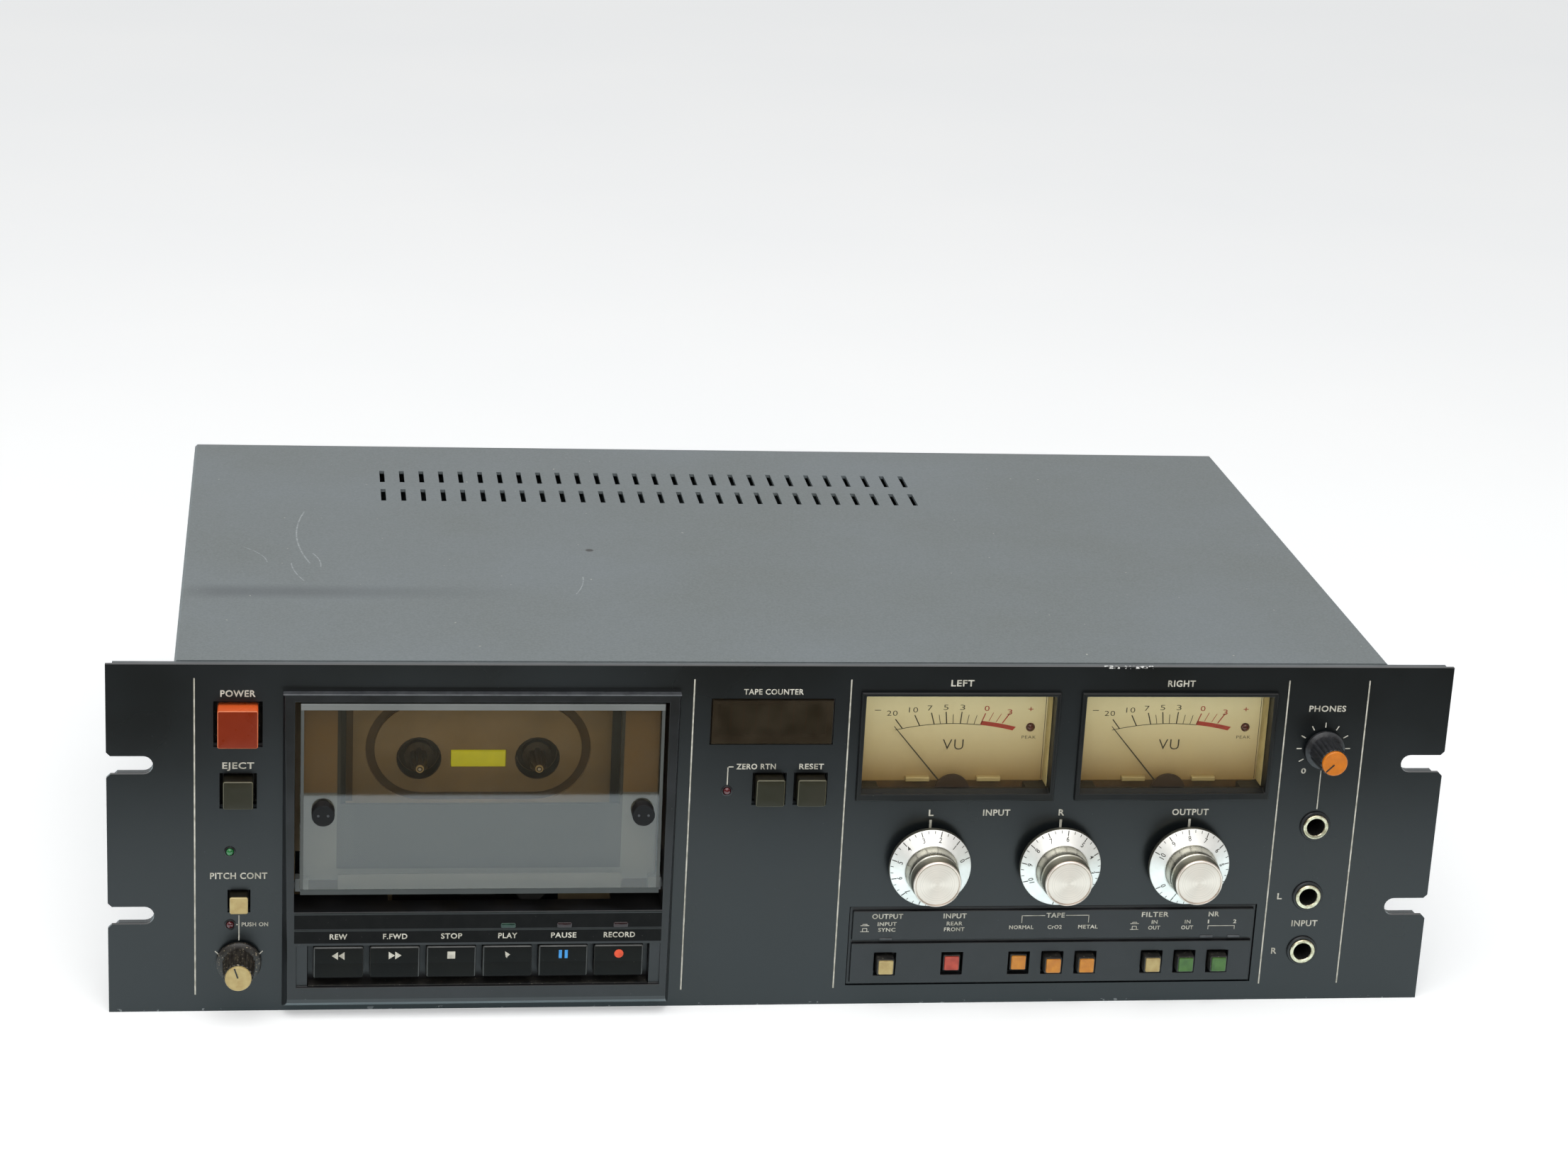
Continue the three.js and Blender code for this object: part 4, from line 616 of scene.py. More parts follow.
def cover_enamel(name):
    """Textured enamel on folded steel: blue-grey, finely pebbled and dull, with a dark smudge, a few hair
    scratches, one small dark dot and pale specks."""
    tree, place = new_finish(name)
    axes = add_node(tree, "ShaderNodeSeparateXYZ", {"Vector": place}).outputs
    base = bpy.context.scene.deck_colours.cover
    cloud = speckle(tree, place, 90.0)
    pebbles = speckle(tree, place, 0.9, detail=2.0, rough=0.6)
    colour = blended(tree, shared_out(tree, cloud, 0.3, 0.7), tuple(base), linear("#626a6d"))
    colour = blended(tree, shared_out(tree, pebbles, 0.3, 0.75, 0.0, 0.3), colour, linear("#848b8d"))
    across = shared_out(tree, worked_out(tree, "ABSOLUTE", worked_out(tree, "ADD", axes["Y"], 0.049)), 0.002,
                        0.009, 1.0, 0.0)
    along = worked_out(tree, "MULTIPLY", shared_out(tree, axes["X"], -0.222, -0.205),
                       shared_out(tree, axes["X"], -0.175, -0.09, 1.0, 0.0))
    smudge = worked_out(tree, "MULTIPLY", worked_out(tree, "MULTIPLY", across, along), 0.5)
    top_only = worked_out(tree, "GREATER_THAN", axes["Z"], 0.131)
    colour = blended(tree, worked_out(tree, "MULTIPLY", smudge, top_only), colour, linear("#343b40"))
    marks = (((-0.173, 0.048), (-0.171, -0.016), -0.004, 0.0006),
             ((-0.170, -0.004), (-0.167, -0.02), 0.001, 0.0005),
             ((-0.196, 0.003), (-0.187, -0.015), 0.002, 0.0004),
             ((-0.178, -0.016), (-0.173, -0.037), -0.001, 0.0005),
             ((-0.069, -0.03), (-0.073, -0.05), 0.001, 0.0004))
    hair = scratch(tree, axes, *marks[0])
    for mark in marks[1:]:
        hair = worked_out(tree, "MAXIMUM", hair, scratch(tree, axes, *mark))
    hair = worked_out(tree, "MULTIPLY", hair, shared_out(tree, speckle(tree, place, 2.0), 0.35, 0.6, 0.15,
                                                         0.8))
    colour = blended(tree, worked_out(tree, "MULTIPLY", hair, top_only), colour, linear("#9aa0a1"))
    dots = speckle(tree, place, 2.4, detail=1.0)
    colour = blended(tree, shared_out(tree, dots, 0.79, 0.81), colour, linear("#a8a89e"))
    dark_dot = add_node(tree, "ShaderNodeVectorMath", {0: place, 1: (-0.064, 0.002, 0.132)}, operation="DISTANCE")
    colour = blended(tree, shared_out(tree, dark_dot.outputs["Value"], 0.0012, 0.0018, 1.0, 0.0), colour,
                     linear("#1d1d1c"))
    bump = add_node(tree, "ShaderNodeBump", {"Height": pebbles, "Distance": 0.05 * MM, "Strength": 0.5})
    surface = add_node(tree, "ShaderNodeBsdfPrincipled", {
        "Base Color": colour, "Roughness": 0.52, "Normal": bump.outputs["Normal"]})
    return finished_with(tree, surface)


def clear_sheet(name, tint, haze, haze_share):
    """Cast acrylic sheet: what is behind shows in its tint, a Fresnel share mirrors the room, and a thin haze
    of dust and fine scratches scatters light. Only the outer face mirrors, with an index of 1.78 in place of
    1.49, because it stands for both faces of the sheet."""
    tree, place = new_finish(name)
    through = add_node(tree, "ShaderNodeBsdfTransparent", {"Color": tint})
    dusty = add_node(tree, "ShaderNodeBsdfDiffuse", {"Color": haze})
    dust = shared_out(tree, speckle(tree, place, 7.0), 0.3, 0.75, haze_share * 0.6, haze_share * 1.5)
    body = add_node(tree, "ShaderNodeMixShader", {0: dust, 1: through.outputs[0], 2: dusty.outputs[0]})
    gloss = add_node(tree, "ShaderNodeBsdfGlossy", {"Color": (1.0, 1.0, 1.0, 1.0), "Roughness": 0.03})
    share = add_node(tree, "ShaderNodeFresnel", {"IOR": CLEAR_SHEET_INDEX}).outputs[0]
    behind = add_node(tree, "ShaderNodeNewGeometry", {}).outputs["Backfacing"]
    mirror = worked_out(tree, "MULTIPLY", share, worked_out(tree, "SUBTRACT", 1.0, behind))
    surface = add_node(tree, "ShaderNodeMixShader", {0: mirror, 1: body.outputs[0], 2: gloss.outputs[0]})
    return finished_with(tree, surface)


def turned_metal(name, x, z, roughness, anisotropy):
    """Turned aluminium: fine rings about the axis at (x, z) stretch each highlight across them, so a flat
    face shows a bright cone. The direction along a ring is the way out from the axis crossed with the line
    into the deck, and a quarter turn of it lies across the rings."""
    tree, place = new_finish(name)
    out = add_node(tree, "ShaderNodeVectorMath", {0: place, 1: (x, 0.0, z)}, operation="SUBTRACT").outputs[0]
    along = add_node(tree, "ShaderNodeVectorMath", {0: out, 1: (0.0, 1.0, 0.0)},
                     operation="CROSS_PRODUCT").outputs[0]
    tangent = add_node(tree, "ShaderNodeVectorTransform", {"Vector": along},
                       vector_type="VECTOR", convert_from="OBJECT", convert_to="WORLD").outputs[0]
    reach = add_node(tree, "ShaderNodeVectorMath", {0: out, 1: (1.0, 0.0, 1.0)},
                     operation="MULTIPLY").outputs[0]
    radius = add_node(tree, "ShaderNodeVectorMath", {0: reach}, operation="LENGTH").outputs["Value"]
    rings = add_node(tree, "ShaderNodeTexNoise", {"W": radius, "Scale": 1.0 / (0.4 * MM), "Detail": 2.0},
                     noise_dimensions="1D").outputs["Fac"]
    shade = blended(tree, shared_out(tree, rings, 0.3, 0.7), linear("#e8dace"), linear("#ddcfc3"))
    gloss = shared_out(tree, rings, 0.3, 0.7, roughness - 0.02, roughness + 0.03)
    surface = add_node(tree, "ShaderNodeBsdfPrincipled", {
        "Base Color": shade, "Metallic": 1.0, "Roughness": gloss, "Anisotropic": anisotropy,
        "Anisotropic Rotation": 0.25, "Tangent": tangent})
    return finished_with(tree, surface)


def meter_card(name):
    """Printed card of a level meter: cream, darker and browner towards its foot, with a dark moulded pivot
    cover in front of it, and a painted glow: a small emission of its own colour."""
    tree, place = new_finish(name)
    axes = add_node(tree, "ShaderNodeSeparateXYZ", {"Vector": place}).outputs
    colours = bpy.context.scene.deck_colours
    height = shared_out(tree, axes["Z"], 0.083, 0.118)
    colour = blended(tree, height, tuple(colours.card_foot), tuple(colours.card_top))
    mottle = speckle(tree, place, 9.0)
    colour = blended(tree, shared_out(tree, mottle, 0.3, 0.8, 0.0, 0.12), colour, linear("#c9b27a"))
    front = worked_out(tree, "LESS_THAN", axes["Y"], -0.1185)
    colour = blended(tree, front, colour, linear("#2c1a10"))
    fibres = speckle(tree, place, 0.4, detail=2.0)
    bump = add_node(tree, "ShaderNodeBump", {"Height": fibres, "Distance": 0.01 * MM, "Strength": 0.5})
    # The emission is a painted glow.
    surface = add_node(tree, "ShaderNodeBsdfPrincipled", {
        "Base Color": colour, "Roughness": 0.55, "Normal": bump.outputs["Normal"],
        "Emission Color": colour, "Emission Strength": 0.12})
    return finished_with(tree, surface)


def holder_moulding(name):
    """Moulded ABS of the cassette holder: a grey frame round a sunk plate and a field in it, both darker with
    painted shade, and browner above 17.5 mm beside the open window, where light and a brown reflection are
    painted on."""
    tree, place = new_finish(name)
    axes = add_node(tree, "ShaderNodeSeparateXYZ", {"Vector": place}).outputs
    colour = blended(tree, shared_out(tree, speckle(tree, place, 12.0), 0.3, 0.7), linear("#656a6b"),
                     linear("#5f6465"))
    # Painted light: the moulding is browner above 17.5 mm, beside the open window.
    painted_brown_light = worked_out(tree, "GREATER_THAN", axes["Z"], 0.0835)
    colour = blended(tree, painted_brown_light, colour, linear("#725c3a"))
    # Painted shade: the sunk plate and the field in it are darker.
    for half_width, foot, shade in ((50.5, 54.4, "#222526"), (44.5, 57.0, "#151718")):
        aside = worked_out(tree, "ABSOLUTE", worked_out(tree, "SUBTRACT", axes["X"], BAY_X * MM))
        inside = worked_out(tree, "MULTIPLY", worked_out(tree, "LESS_THAN", aside, half_width * MM),
                            worked_out(tree, "GREATER_THAN", axes["Z"], foot * MM))
        colour = blended(tree, inside, colour, linear(shade))
    surface = add_node(tree, "ShaderNodeBsdfPrincipled", {"Base Color": colour, "Roughness": 0.5})
    return finished_with(tree, surface)


def board_laminate(name):
    """Glass-fibre circuit board: green lacquer over copper tracks, drawn as wide as they need to show."""
    tree, place = new_finish(name)
    tracks = add_node(tree, "ShaderNodeTexBrick", {
        "Vector": place, "Color1": linear("#1f5130"), "Color2": linear("#2a6a3d"),
        "Mortar": linear("#7a6a3a"), "Scale": 1.0 / (9.0 * MM), "Mortar Size": 0.03})
    surface = add_node(tree, "ShaderNodeBsdfPrincipled",
                       {"Base Color": tracks.outputs["Color"], "Roughness": 0.4})
    return finished_with(tree, surface)


def lit_bar(name):
    """Yellow acrylic strip with a painted glow: saturated yellow, and an emission that makes it give back
    more light than it gets."""
    tree, place = new_finish(name)
    colour = blended(tree, shared_out(tree, speckle(tree, place, 5.0), 0.3, 0.7), linear("#dfe02c"),
                     linear("#cfd226"))
    # The emission of 0.3 is a painted glow.
    surface = add_node(tree, "ShaderNodeBsdfPrincipled", {
        "Base Color": colour, "Roughness": 0.3, "Emission Color": linear("#dfe02c"),
        "Emission Strength": 0.3})
    return finished_with(tree, surface)


def finish(name):
    """The finish of this name, mixed the first time that a piece asks for it."""
    return bpy.data.materials.get(name) or mixed_finish(name)


def mixed_finish(name):
    """Mixes one finish by name."""
    colours = bpy.context.scene.deck_colours
    moulding = tuple(colours.moulding)
    knob_axis_z = (KNOB_Z + PANEL_FACE[2]) * MM
    special = {
        "baked_black_enamel": panel_enamel,
        "textured_grey_enamel": cover_enamel,
        "printed_meter_card": meter_card,
        "circuit_board_laminate": board_laminate,
        "fluorescent_yellow_acrylic": lit_bar,
        "holder_grey_abs": holder_moulding,
    }
    if name in special:
        return special[name](name)
    if name == "smoked_acrylic_sheet":
        return clear_sheet(name, tuple(colours.smoke), linear("#66706f"), 0.04)
    if name == "clear_acrylic_sheet":
        return clear_sheet(name, linear("#fdfcf6"), linear("#b0ab98"), 0.015)
    if name == "dark_acrylic_sheet":
        return clear_sheet(name, linear("#a89a88"), linear("#6a6050"), 0.14)
    if name.startswith("turned_aluminium"):
        return turned_metal(name, float(name.split("_at_")[1]) * MM, knob_axis_z, 0.38, 0.6)
    # Moulded ABS is dull with a fine spark grain; acetal is waxy; enamel on steel is smoother and harder
    recipes = {
        "moulded_black_abs": (moulding, linear("#191a1d"), 0.36, {"grain_mm": 0.5, "depth_mm": 0.012,
                              "specks": (linear("#3c3d3e"), 1.1, 0.8)}),
        "dusty_black_abs": (linear("#141414"), linear("#292723"), 0.5, {"patch_mm": 4.0,
                            "specks": (linear("#6b665a"), 0.8, 0.7)}),
        "key_black_abs": (linear("#0c0d0c"), linear("#131412"), 0.4, {"grain_mm": 0.4, "depth_mm": 0.008,
                          "specks": (linear("#474542"), 0.9, 0.8), "Specular IOR Level": 0.11}),
        # Lighter grey on the keys' rounded head and ends: a painted highlight.
        "key_edge_abs": (linear("#3c3d3b"), linear("#323331"), 0.35, {"patch_mm": 5.0}),
        "blackened_steel": (linear("#1a1a1b"), linear("#232324"), 0.35, {"Metallic": 0.3, "patch_mm": 4.0}),
        "matt_black_strip": (linear("#0a0b0b"), linear("#111212"), 0.6, {"patch_mm": 5.0,
                             "specks": (linear("#2e2e2c"), 0.8, 0.76), "Specular IOR Level": 0.12}),
        "screw_black_abs": (linear("#0b0b0c"), linear("#131314"), 0.45, {"Specular IOR Level": 0.2}),
        "ground_acrylic_edge": (linear("#6f7270"), linear("#676a68"), 0.5, {"patch_mm": 20.0}),
        # Darker strips on the pane's sides and foot: painted shade.
        "shaded_acrylic_edge": (linear("#383c3b"), linear("#323635"), 0.5, {"patch_mm": 20.0}),
        "side_acrylic_edge": (linear("#4a4d4a"), linear("#444745"), 0.5, {"patch_mm": 20.0}),
        "bezel_line_abs": (linear("#1f2221"), linear("#262928"), 0.5,
                           {"patch_mm": 5.0, "Specular IOR Level": 0.25}),
        "meter_black_abs": (moulding, linear("#151614"), 0.4, {"grain_mm": 0.5, "depth_mm": 0.012,
                            "specks": (linear("#3c3d3a"), 1.1, 0.78), "Specular IOR Level": 0.3}),
        # Cream on the meter's side cheeks: a painted reflection of the card in the housing's side walls.
        "card_cheek_cream": (linear("#cdbd8a"), linear("#b9a878"), 0.6, {"patch_mm": 6.0}),
        # Dark brown of the strip behind each card's foot.
        "aged_card_foot": (linear("#5a3f1c"), linear("#4a3316"), 0.6, {"patch_mm": 6.0}),
        "yellowed_acetal": (linear("#c4b080"), linear("#ad9868"), 0.42, {"grain_mm": 0.5}),
        "knob_grey_abs": (linear("#1d1e20"), linear("#2b2c2f"), 0.36, {"patch_mm": 2.5}),
        # The edge finishes are lighter copies of the cap colours: painted highlights on the rounded front
        # edges.
        "power_edge_abs": (linear("#d8703f"), linear("#cc6636"), 0.35, {"patch_mm": 5.0}),
        "olive_edge_abs": (linear("#5a5740"), linear("#4e4b37"), 0.35, {"patch_mm": 5.0}),
        "cream_edge_abs": (linear("#c9b782"), linear("#bba974"), 0.35, {"patch_mm": 5.0}),
        "brushed_neck_aluminium": (linear("#cccabd"), linear("#bcbaad"), 0.27,
                                   {"Metallic": 1.0, "patch_mm": 6.0, "grain_mm": 0.3, "depth_mm": 0.004}),
        "matt_band_aluminium": (linear("#a19f92"), linear("#939184"), 0.42, {"Metallic": 1.0, "patch_mm": 6.0,
                                "grain_mm": 0.3, "depth_mm": 0.006}),
        "satin_aluminium": (linear("#f4f3ef"), linear("#ebeae5"), 0.5, {"Metallic": 0.85, "patch_mm": 6.0,
                            "grain_mm": 0.3, "depth_mm": 0.006}),
        # Lighter orange on the power cap's sides: painted light from above.
        "power_cap_top_abs": (linear("#e0602c"), linear("#d65a2a"), 0.3,
                              {"grain_mm": 0.4, "depth_mm": 0.006}),
        "phones_cap_abs": (linear("#d1760c"), linear("#c26c0a"), 0.36, {"patch_mm": 3.0}),
        "button_side_abs": (linear("#15130c"), linear("#201d14"), 0.42,
                            {"patch_mm": 3.0, "Specular IOR Level": 0.3}),
        "well_black_abs": (linear("#2a2119"), linear("#33291f"), 0.5, {}),
        "knob_black_abs": (linear("#17130f"), linear("#2a2620"), 0.38, {"patch_mm": 2.5,
                           "specks": (linear("#8a7f6a"), 0.7, 0.66)}),
        "grey_steel_enamel": (linear("#54595b"), linear("#4a5052"), 0.5, {"grain_mm": 0.8}),
        "bay_brown_enamel": (linear("#a28e6c"), linear("#978463"), 0.5, {"grain_mm": 0.7}),
        "white_acetal": (linear("#c9c5b8"), linear("#b5b1a2"), 0.42, {"grain_mm": 0.5}),
        "dark_acetal": (linear("#3a3026"), linear("#473b2f"), 0.4, {}),
        # Dark brown of the bay's guide bands, and painted shade in its oval groove.
        "groove_brown_enamel": (linear("#5e4a2e"), linear("#554327"), 0.55, {}),
        "zinc_plated_steel": (linear("#a9a99f"), linear("#8f8f88"), 0.34, {"Metallic": 1.0, "patch_mm": 5.0}),
        "nickel_plate": (linear("#d9d2b8"), linear("#aaa184"), 0.26, {"Metallic": 1.0, "patch_mm": 2.0}),
        "motor_can_steel": (linear("#8d8d8a"), linear("#787876"), 0.3, {"Metallic": 1.0}),
        "neoprene": (linear("#1a1a1a"), linear("#262625"), 0.75, {"grain_mm": 0.4}),
        "laminated_iron": (linear("#3c3c3a"), linear("#5a4a38"), 0.55, {"Metallic": 0.6, "patch_mm": 6.0}),
        "phenolic_socket": (linear("#1b1b1a"), linear("#252422"), 0.45, {}),
        "power_cap_abs": (tuple(colours.power), linear("#80280a"), 0.3, {"grain_mm": 0.4, "depth_mm": 0.006,
                          "Specular IOR Level": 0.25}),
        "olive_cap_abs": (tuple(colours.olive), linear("#2d2b1e"), 0.36,
                          {"grain_mm": 0.4, "Specular IOR Level": 0.25}),
        "cream_cap_abs": (tuple(colours.cream), linear("#ad9660"), 0.4, {"patch_mm": 3.0}),
        "red_cap_abs": (tuple(colours.red), linear("#a33a2c"), 0.4, {"patch_mm": 3.0}),
        "orange_cap_abs": (tuple(colours.orange), linear("#bb7425"), 0.4, {"patch_mm": 3.0}),
        "green_cap_abs": (tuple(colours.green), linear("#385d26"), 0.4, {"patch_mm": 3.0}),
        "screen_print_pale": (tuple(colours.printing), linear("#a5a294"), 0.55, {"patch_mm": 3.0}),
        "screen_print_black": (linear("#27231b"), linear("#332e25"), 0.6, {"patch_mm": 2.0}),
        "screen_print_red": (linear("#b8352b"), linear("#a62f27"), 0.55, {"patch_mm": 3.0}),
        "screen_print_blue": (linear("#3f9be0"), linear("#348ace"), 0.5, {"patch_mm": 2.0}),
        "screen_print_orange": (linear("#e4512a"), linear("#cf4825"), 0.5, {"patch_mm": 2.0}),
        # Grey of the indicator tabs and screw notches, and a painted highlight on the bezel's head edge.
        "edge_worn_abs": (linear("#45474a"), linear("#333538"), 0.4, {"patch_mm": 4.0}),
        "lamp_lens_red": (linear("#40090f"), linear("#591018"), 0.15, {"patch_mm": 1.5, "Coat Weight": 0.5}),
        "lamp_lens_green": (linear("#155c2c"), linear("#1f7a3a"), 0.15,
                            {"patch_mm": 1.5, "Coat Weight": 0.5}),
        "lamp_window_green": (linear("#0d2a20"), linear("#123628"), 0.2, {"patch_mm": 2.0}),
        "lamp_window_red": (linear("#1c0a0d"), linear("#260e12"), 0.2, {"patch_mm": 2.0}),
        "socket_red": (linear("#a52a22"), linear("#8f241d"), 0.4, {}),
        "socket_white": (linear("#d0cdc2"), linear("#bdbaae"), 0.4, {}),
    }
    base, other, roughness, settings = recipes[name]
    return grained(name, base, other, roughness, **settings)


# Operators, one for each piece or group of like pieces

class DressNodes(bpy.types.Operator):
    """Give the CAD nodes that stay their finishes and rounded edges"""
    bl_idname = "deck.dress_nodes"
    bl_label = "Panel, chassis and covers"

    def execute(self, context):
        rounding = context.scene.deck_sizes.edge_round
        dress("front_panel", "baked_black_enamel")
        dress("chassis", "grey_steel_enamel")
        dress("top_cover", "textured_grey_enamel")
        dress("rear_panel", "textured_grey_enamel", rounding * 0.6)
        dress("cassette_bezel", "moulded_black_abs", rounding, segments=3)
        dress("switch_escutcheon", "moulded_black_abs", rounding * 0.6)
        for side in ("left", "right"):
            dress(side + "_meter_housing", "meter_black_abs", rounding)
            dress(side + "_meter_window", "clear_acrylic_sheet")
            dress(side + "_meter_dial", "printed_meter_card")
        dress("counter_window", "dark_acrylic_sheet")
        dress("cassette_holder", "holder_grey_abs", rounding)
        dress("door_window", "smoked_acrylic_sheet")
        dress("transport_plate", "bay_brown_enamel", rounding)
        for jack in JACKS:
            dress(jack, "phenolic_socket", rounding * 0.4)
        for node, name in (("capstan_flywheel", "zinc_plated_steel"), ("capstan_motor", "motor_can_steel"),
                           ("motor_pulley", "zinc_plated_steel"), ("drive_belt", "neoprene"),
                           ("head_slide", "blackened_steel"), ("tape_head", "blackened_steel"),
                           ("pinch_arm", "blackened_steel"), ("pinch_roller", "neoprene"),
                           ("control_board", "circuit_board_laminate"),
                           ("main_board", "circuit_board_laminate"), ("power_transformer", "laminated_iron"),
                           ("mains_inlet", "phenolic_socket"), ("phono_sockets", "phenolic_socket")):
            dress(node, name)
        return {"FINISHED"}


class PrintPanel(bpy.types.Operator):
    """Print the lines and words on the front panel"""
    bl_idname = "deck.print_panel"
    bl_label = "Panel printing"

    def execute(self, context):
        sizes = context.scene.deck_sizes
        line = sizes.line_width / MM
        high = sizes.letter_height / MM
        shapes = [stroke([(x, -59.5), (x, 61.0)], line) for x in (-211.0, -36.7, 19.4, 180.0, 210.0)]
        shapes += [
            stroke([(PITCH_X, -28.6), (PITCH_X, -38.4)], 0.4),
            stroke([(-197.2, -32.3), (PITCH_X, -32.3)], 0.4), stroke([(-23.4, 20.8), (-23.4, 27.9)], 0.4),
            stroke([(-23.6, 27.7), (-21.4, 27.7)], 0.4),
            stroke([(RIGHT_COLUMN_X, 26.0), (RIGHT_COLUMN_X, 10.7)], 0.4),
        ]
        shapes += [stroke([(x, 3.2), (x, 7.0)], 0.9) for x, _ in LEVEL_KNOBS.values()]
        middle = np.array([RIGHT_COLUMN_X, PHONES_Z])
        for turn in np.radians(np.arange(-120.0, 151.0, 30.0))[:-1]:
            way = np.array([-math.sin(turn), math.cos(turn)])
            shapes.append(stroke([middle + 8.2 * way, middle + 10.1 * way], 0.4))
        for side in (-1, 1):
            shapes.append(stroke([(PITCH_X + side * 6.7, -44.2), (PITCH_X + side * 8.4, -42.6)], 0.4))
        words = [
            ("POWER", -196.0, 55.2, high, 12.1), ("EJECT", -195.9, 28.3, high, 11.0),
            ("PITCH CONT", -195.7, -13.6, high, 20.0), ("PUSH ON", -190.0, -32.3, 1.55, 9.3),
            ("TAPE COUNTER", -8.3, 56.2, high * 0.87, 21.4), ("ZERO RTN", -13.3, 27.7, high * 0.87, 14.2),
            ("RESET", 6.7, 27.7, high * 0.87, 8.9), ("LEFT", 59.6, 59.6, high, 8.4),
            ("RIGHT", 139.9, 59.6, high, 10.2), ("L", 51.4, 9.6, high, 1.8), ("INPUT", 75.5, 9.6, high, 10.0),
            ("R", 99.5, 9.6, high, 2.1), ("OUTPUT", 147.6, 9.6, high, 13.6),
            ("PHONES", RIGHT_COLUMN_X, 50.0, high * 0.95, 13.8), ("0", 188.6, 25.7, high * 0.85, 1.8),
            ("L", 184.6, -24.2, high, 1.8), ("R", 184.6, -46.3, high, 2.1),
            ("INPUT", RIGHT_COLUMN_X, -35.2, high, 9.9),
        ]
        shapes.append(lettering(words))
        piece("panel_printing", together(shapes), "screen_print_pale", solid=False)
        return {"FINISHED"}


class PrintSwitchStrip(bpy.types.Operator):
    """Print the words over the small keys and the transport keys"""
    bl_idname = "deck.print_switch_strip"
    bl_label = "Switch and key printing"

    def execute(self, context):
        face = at_depth(-1.0)
        words = [
            ("OUTPUT", 37.8, -30.7, 1.95, 11.4), ("INPUT", 37.8, -33.7, 1.5, 7.0),
            ("SYNC", 37.8, -36.0, 1.5, 6.4), ("INPUT", 62.8, -30.7, 1.95, 8.6),
            ("REAR", 62.8, -33.7, 1.5, 5.9), ("FRONT", 62.8, -36.0, 1.5, 7.6),
            ("TAPE", 100.3, -30.7, 1.95, 6.9), ("NORMAL", 87.8, -35.4, 1.5, 9.1),
            ("CrO2", 100.3, -35.4, 1.5, 5.3), ("METAL", 112.8, -35.4, 1.5, 7.4),
            ("FILTER", 137.8, -30.7, 1.95, 10.2), ("IN", 137.8, -33.7, 1.5, 2.2),
            ("OUT", 137.8, -36.0, 1.5, 4.5), ("IN", 150.3, -33.7, 1.5, 2.2), ("OUT", 150.3, -36.0, 1.5, 4.5),
            ("NR", 160.0, -30.7, 1.95, 4.0), ("1", 158.2, -33.7, 1.5, 0.5), ("2", 168.2, -33.7, 1.5, 1.2),
        ]
        shapes = [lettering(words, face)]
        for left, right, top, foot in ((87.8, 96.4, -30.7, -33.6), (112.8, 104.2, -30.7, -33.6)):
            shapes.append(stroke([(left, top), (right, top)] if left < right else [(right, top), (left, top)],
                                 0.25, face))
            shapes.append(stroke([(left, foot), (left, top + 0.12)], 0.25, face))
        shapes.append(stroke([(158.2, -35.3), (168.2, -35.3)], 0.25, face))
        shapes += [stroke([(x, -35.2), (x, -36.7)], 0.25, face) for x in (158.2, 168.2)]
        for x in (29.6, 130.3):
            for z, rise in ((-34.2, 0.5), (-36.6, 1.3)):
                shapes.append(stroke([(x - 1.6, z), (x + 1.6, z)], 0.25, face))
                shapes.append(stroke([(x - 0.8, z + rise), (x + 0.8, z + rise)], 0.25, face))
                shapes += [stroke([(x + side, z), (x + side, z + rise)], 0.25, face) for side in (-0.8, 0.8)]
        piece("switch_printing", together(shapes), "screen_print_pale", solid=False)
        names = (("REW", 6.2), ("F.FWD", 8.6), ("STOP", 7.5), ("PLAY", 6.8), ("PAUSE", 9.1), ("RECORD", 11.3))
        words = [(name, TRANSPORT_KEY_X + TRANSPORT_KEY_STEP * step, -34.4, 2.05, width)
                 for step, (name, width) in enumerate(names)]
        piece("transport_printing", lettering(words, bezel_depth), "screen_print_pale", solid=False)
        return {"FINISHED"}


class FitLamps(bpy.types.Operator):
    """Fit the panel lamps, the lamp windows over the keys and the indicator tabs"""
    bl_idname = "deck.fit_lamps"
    bl_label = "Lamps and tabs"

    def execute(self, context):
        for name, x, z, lens in (("lamp_upper", -198.8, -4.2, "lamp_lens_green"),
                                 ("lamp_pitch", -198.7, -32.3, "lamp_lens_red"),
                                 ("lamp_zero_return", -23.4, 18.5, "lamp_lens_red")):
            t = np.linspace(0.0, np.pi / 2, 9)
            dome = np.stack([1.35 * np.sin(t), -0.95 * np.cos(t) - 0.1], axis=-1)
            profile = np.concatenate([dome, [(1.35, 1.9), (0.0, 1.9)]])
            piece(name, turned(profile, x, z, steps=28), lens)
            ring = [(1.42, 1.2), (1.42, -0.28), (1.62, -0.42), (2.0, -0.3), (2.1, -0.02), (1.58, -0.02),
                    (1.58, 1.2)]
            piece(name + "_ring", turned(ring, x, z, steps=28, ring=True), "moulded_black_abs")
        for name, x, lens in (("play_lamp_window", -100.5, "lamp_window_green"),
                              ("pause_lamp_window", -80.4, "lamp_window_red"),
                              ("record_lamp_window", -60.2, "lamp_window_red")):
            face = float(bezel_depth(np.array([x]), np.array([-30.6]))[0])
            profile = [(0.0, face + 0.6), (0.0, face - 0.05), (0.25, face - 0.2)]
            piece(name, slab(x, -30.4, 5.2, 1.9, 0.4, profile), lens)
        for number, (x, width) in enumerate(((37.6, 4.8), (157.8, 5.0), (168.2, 4.6))):
            profile = [(0.0, -0.6), (0.0, -1.15), (0.25, -1.4)]
            piece("indicator_tab_%d" % (number + 1), slab(x, -39.6, width, 1.0, 0.25, profile),
                  "edge_worn_abs")
        return {"FINISHED"}


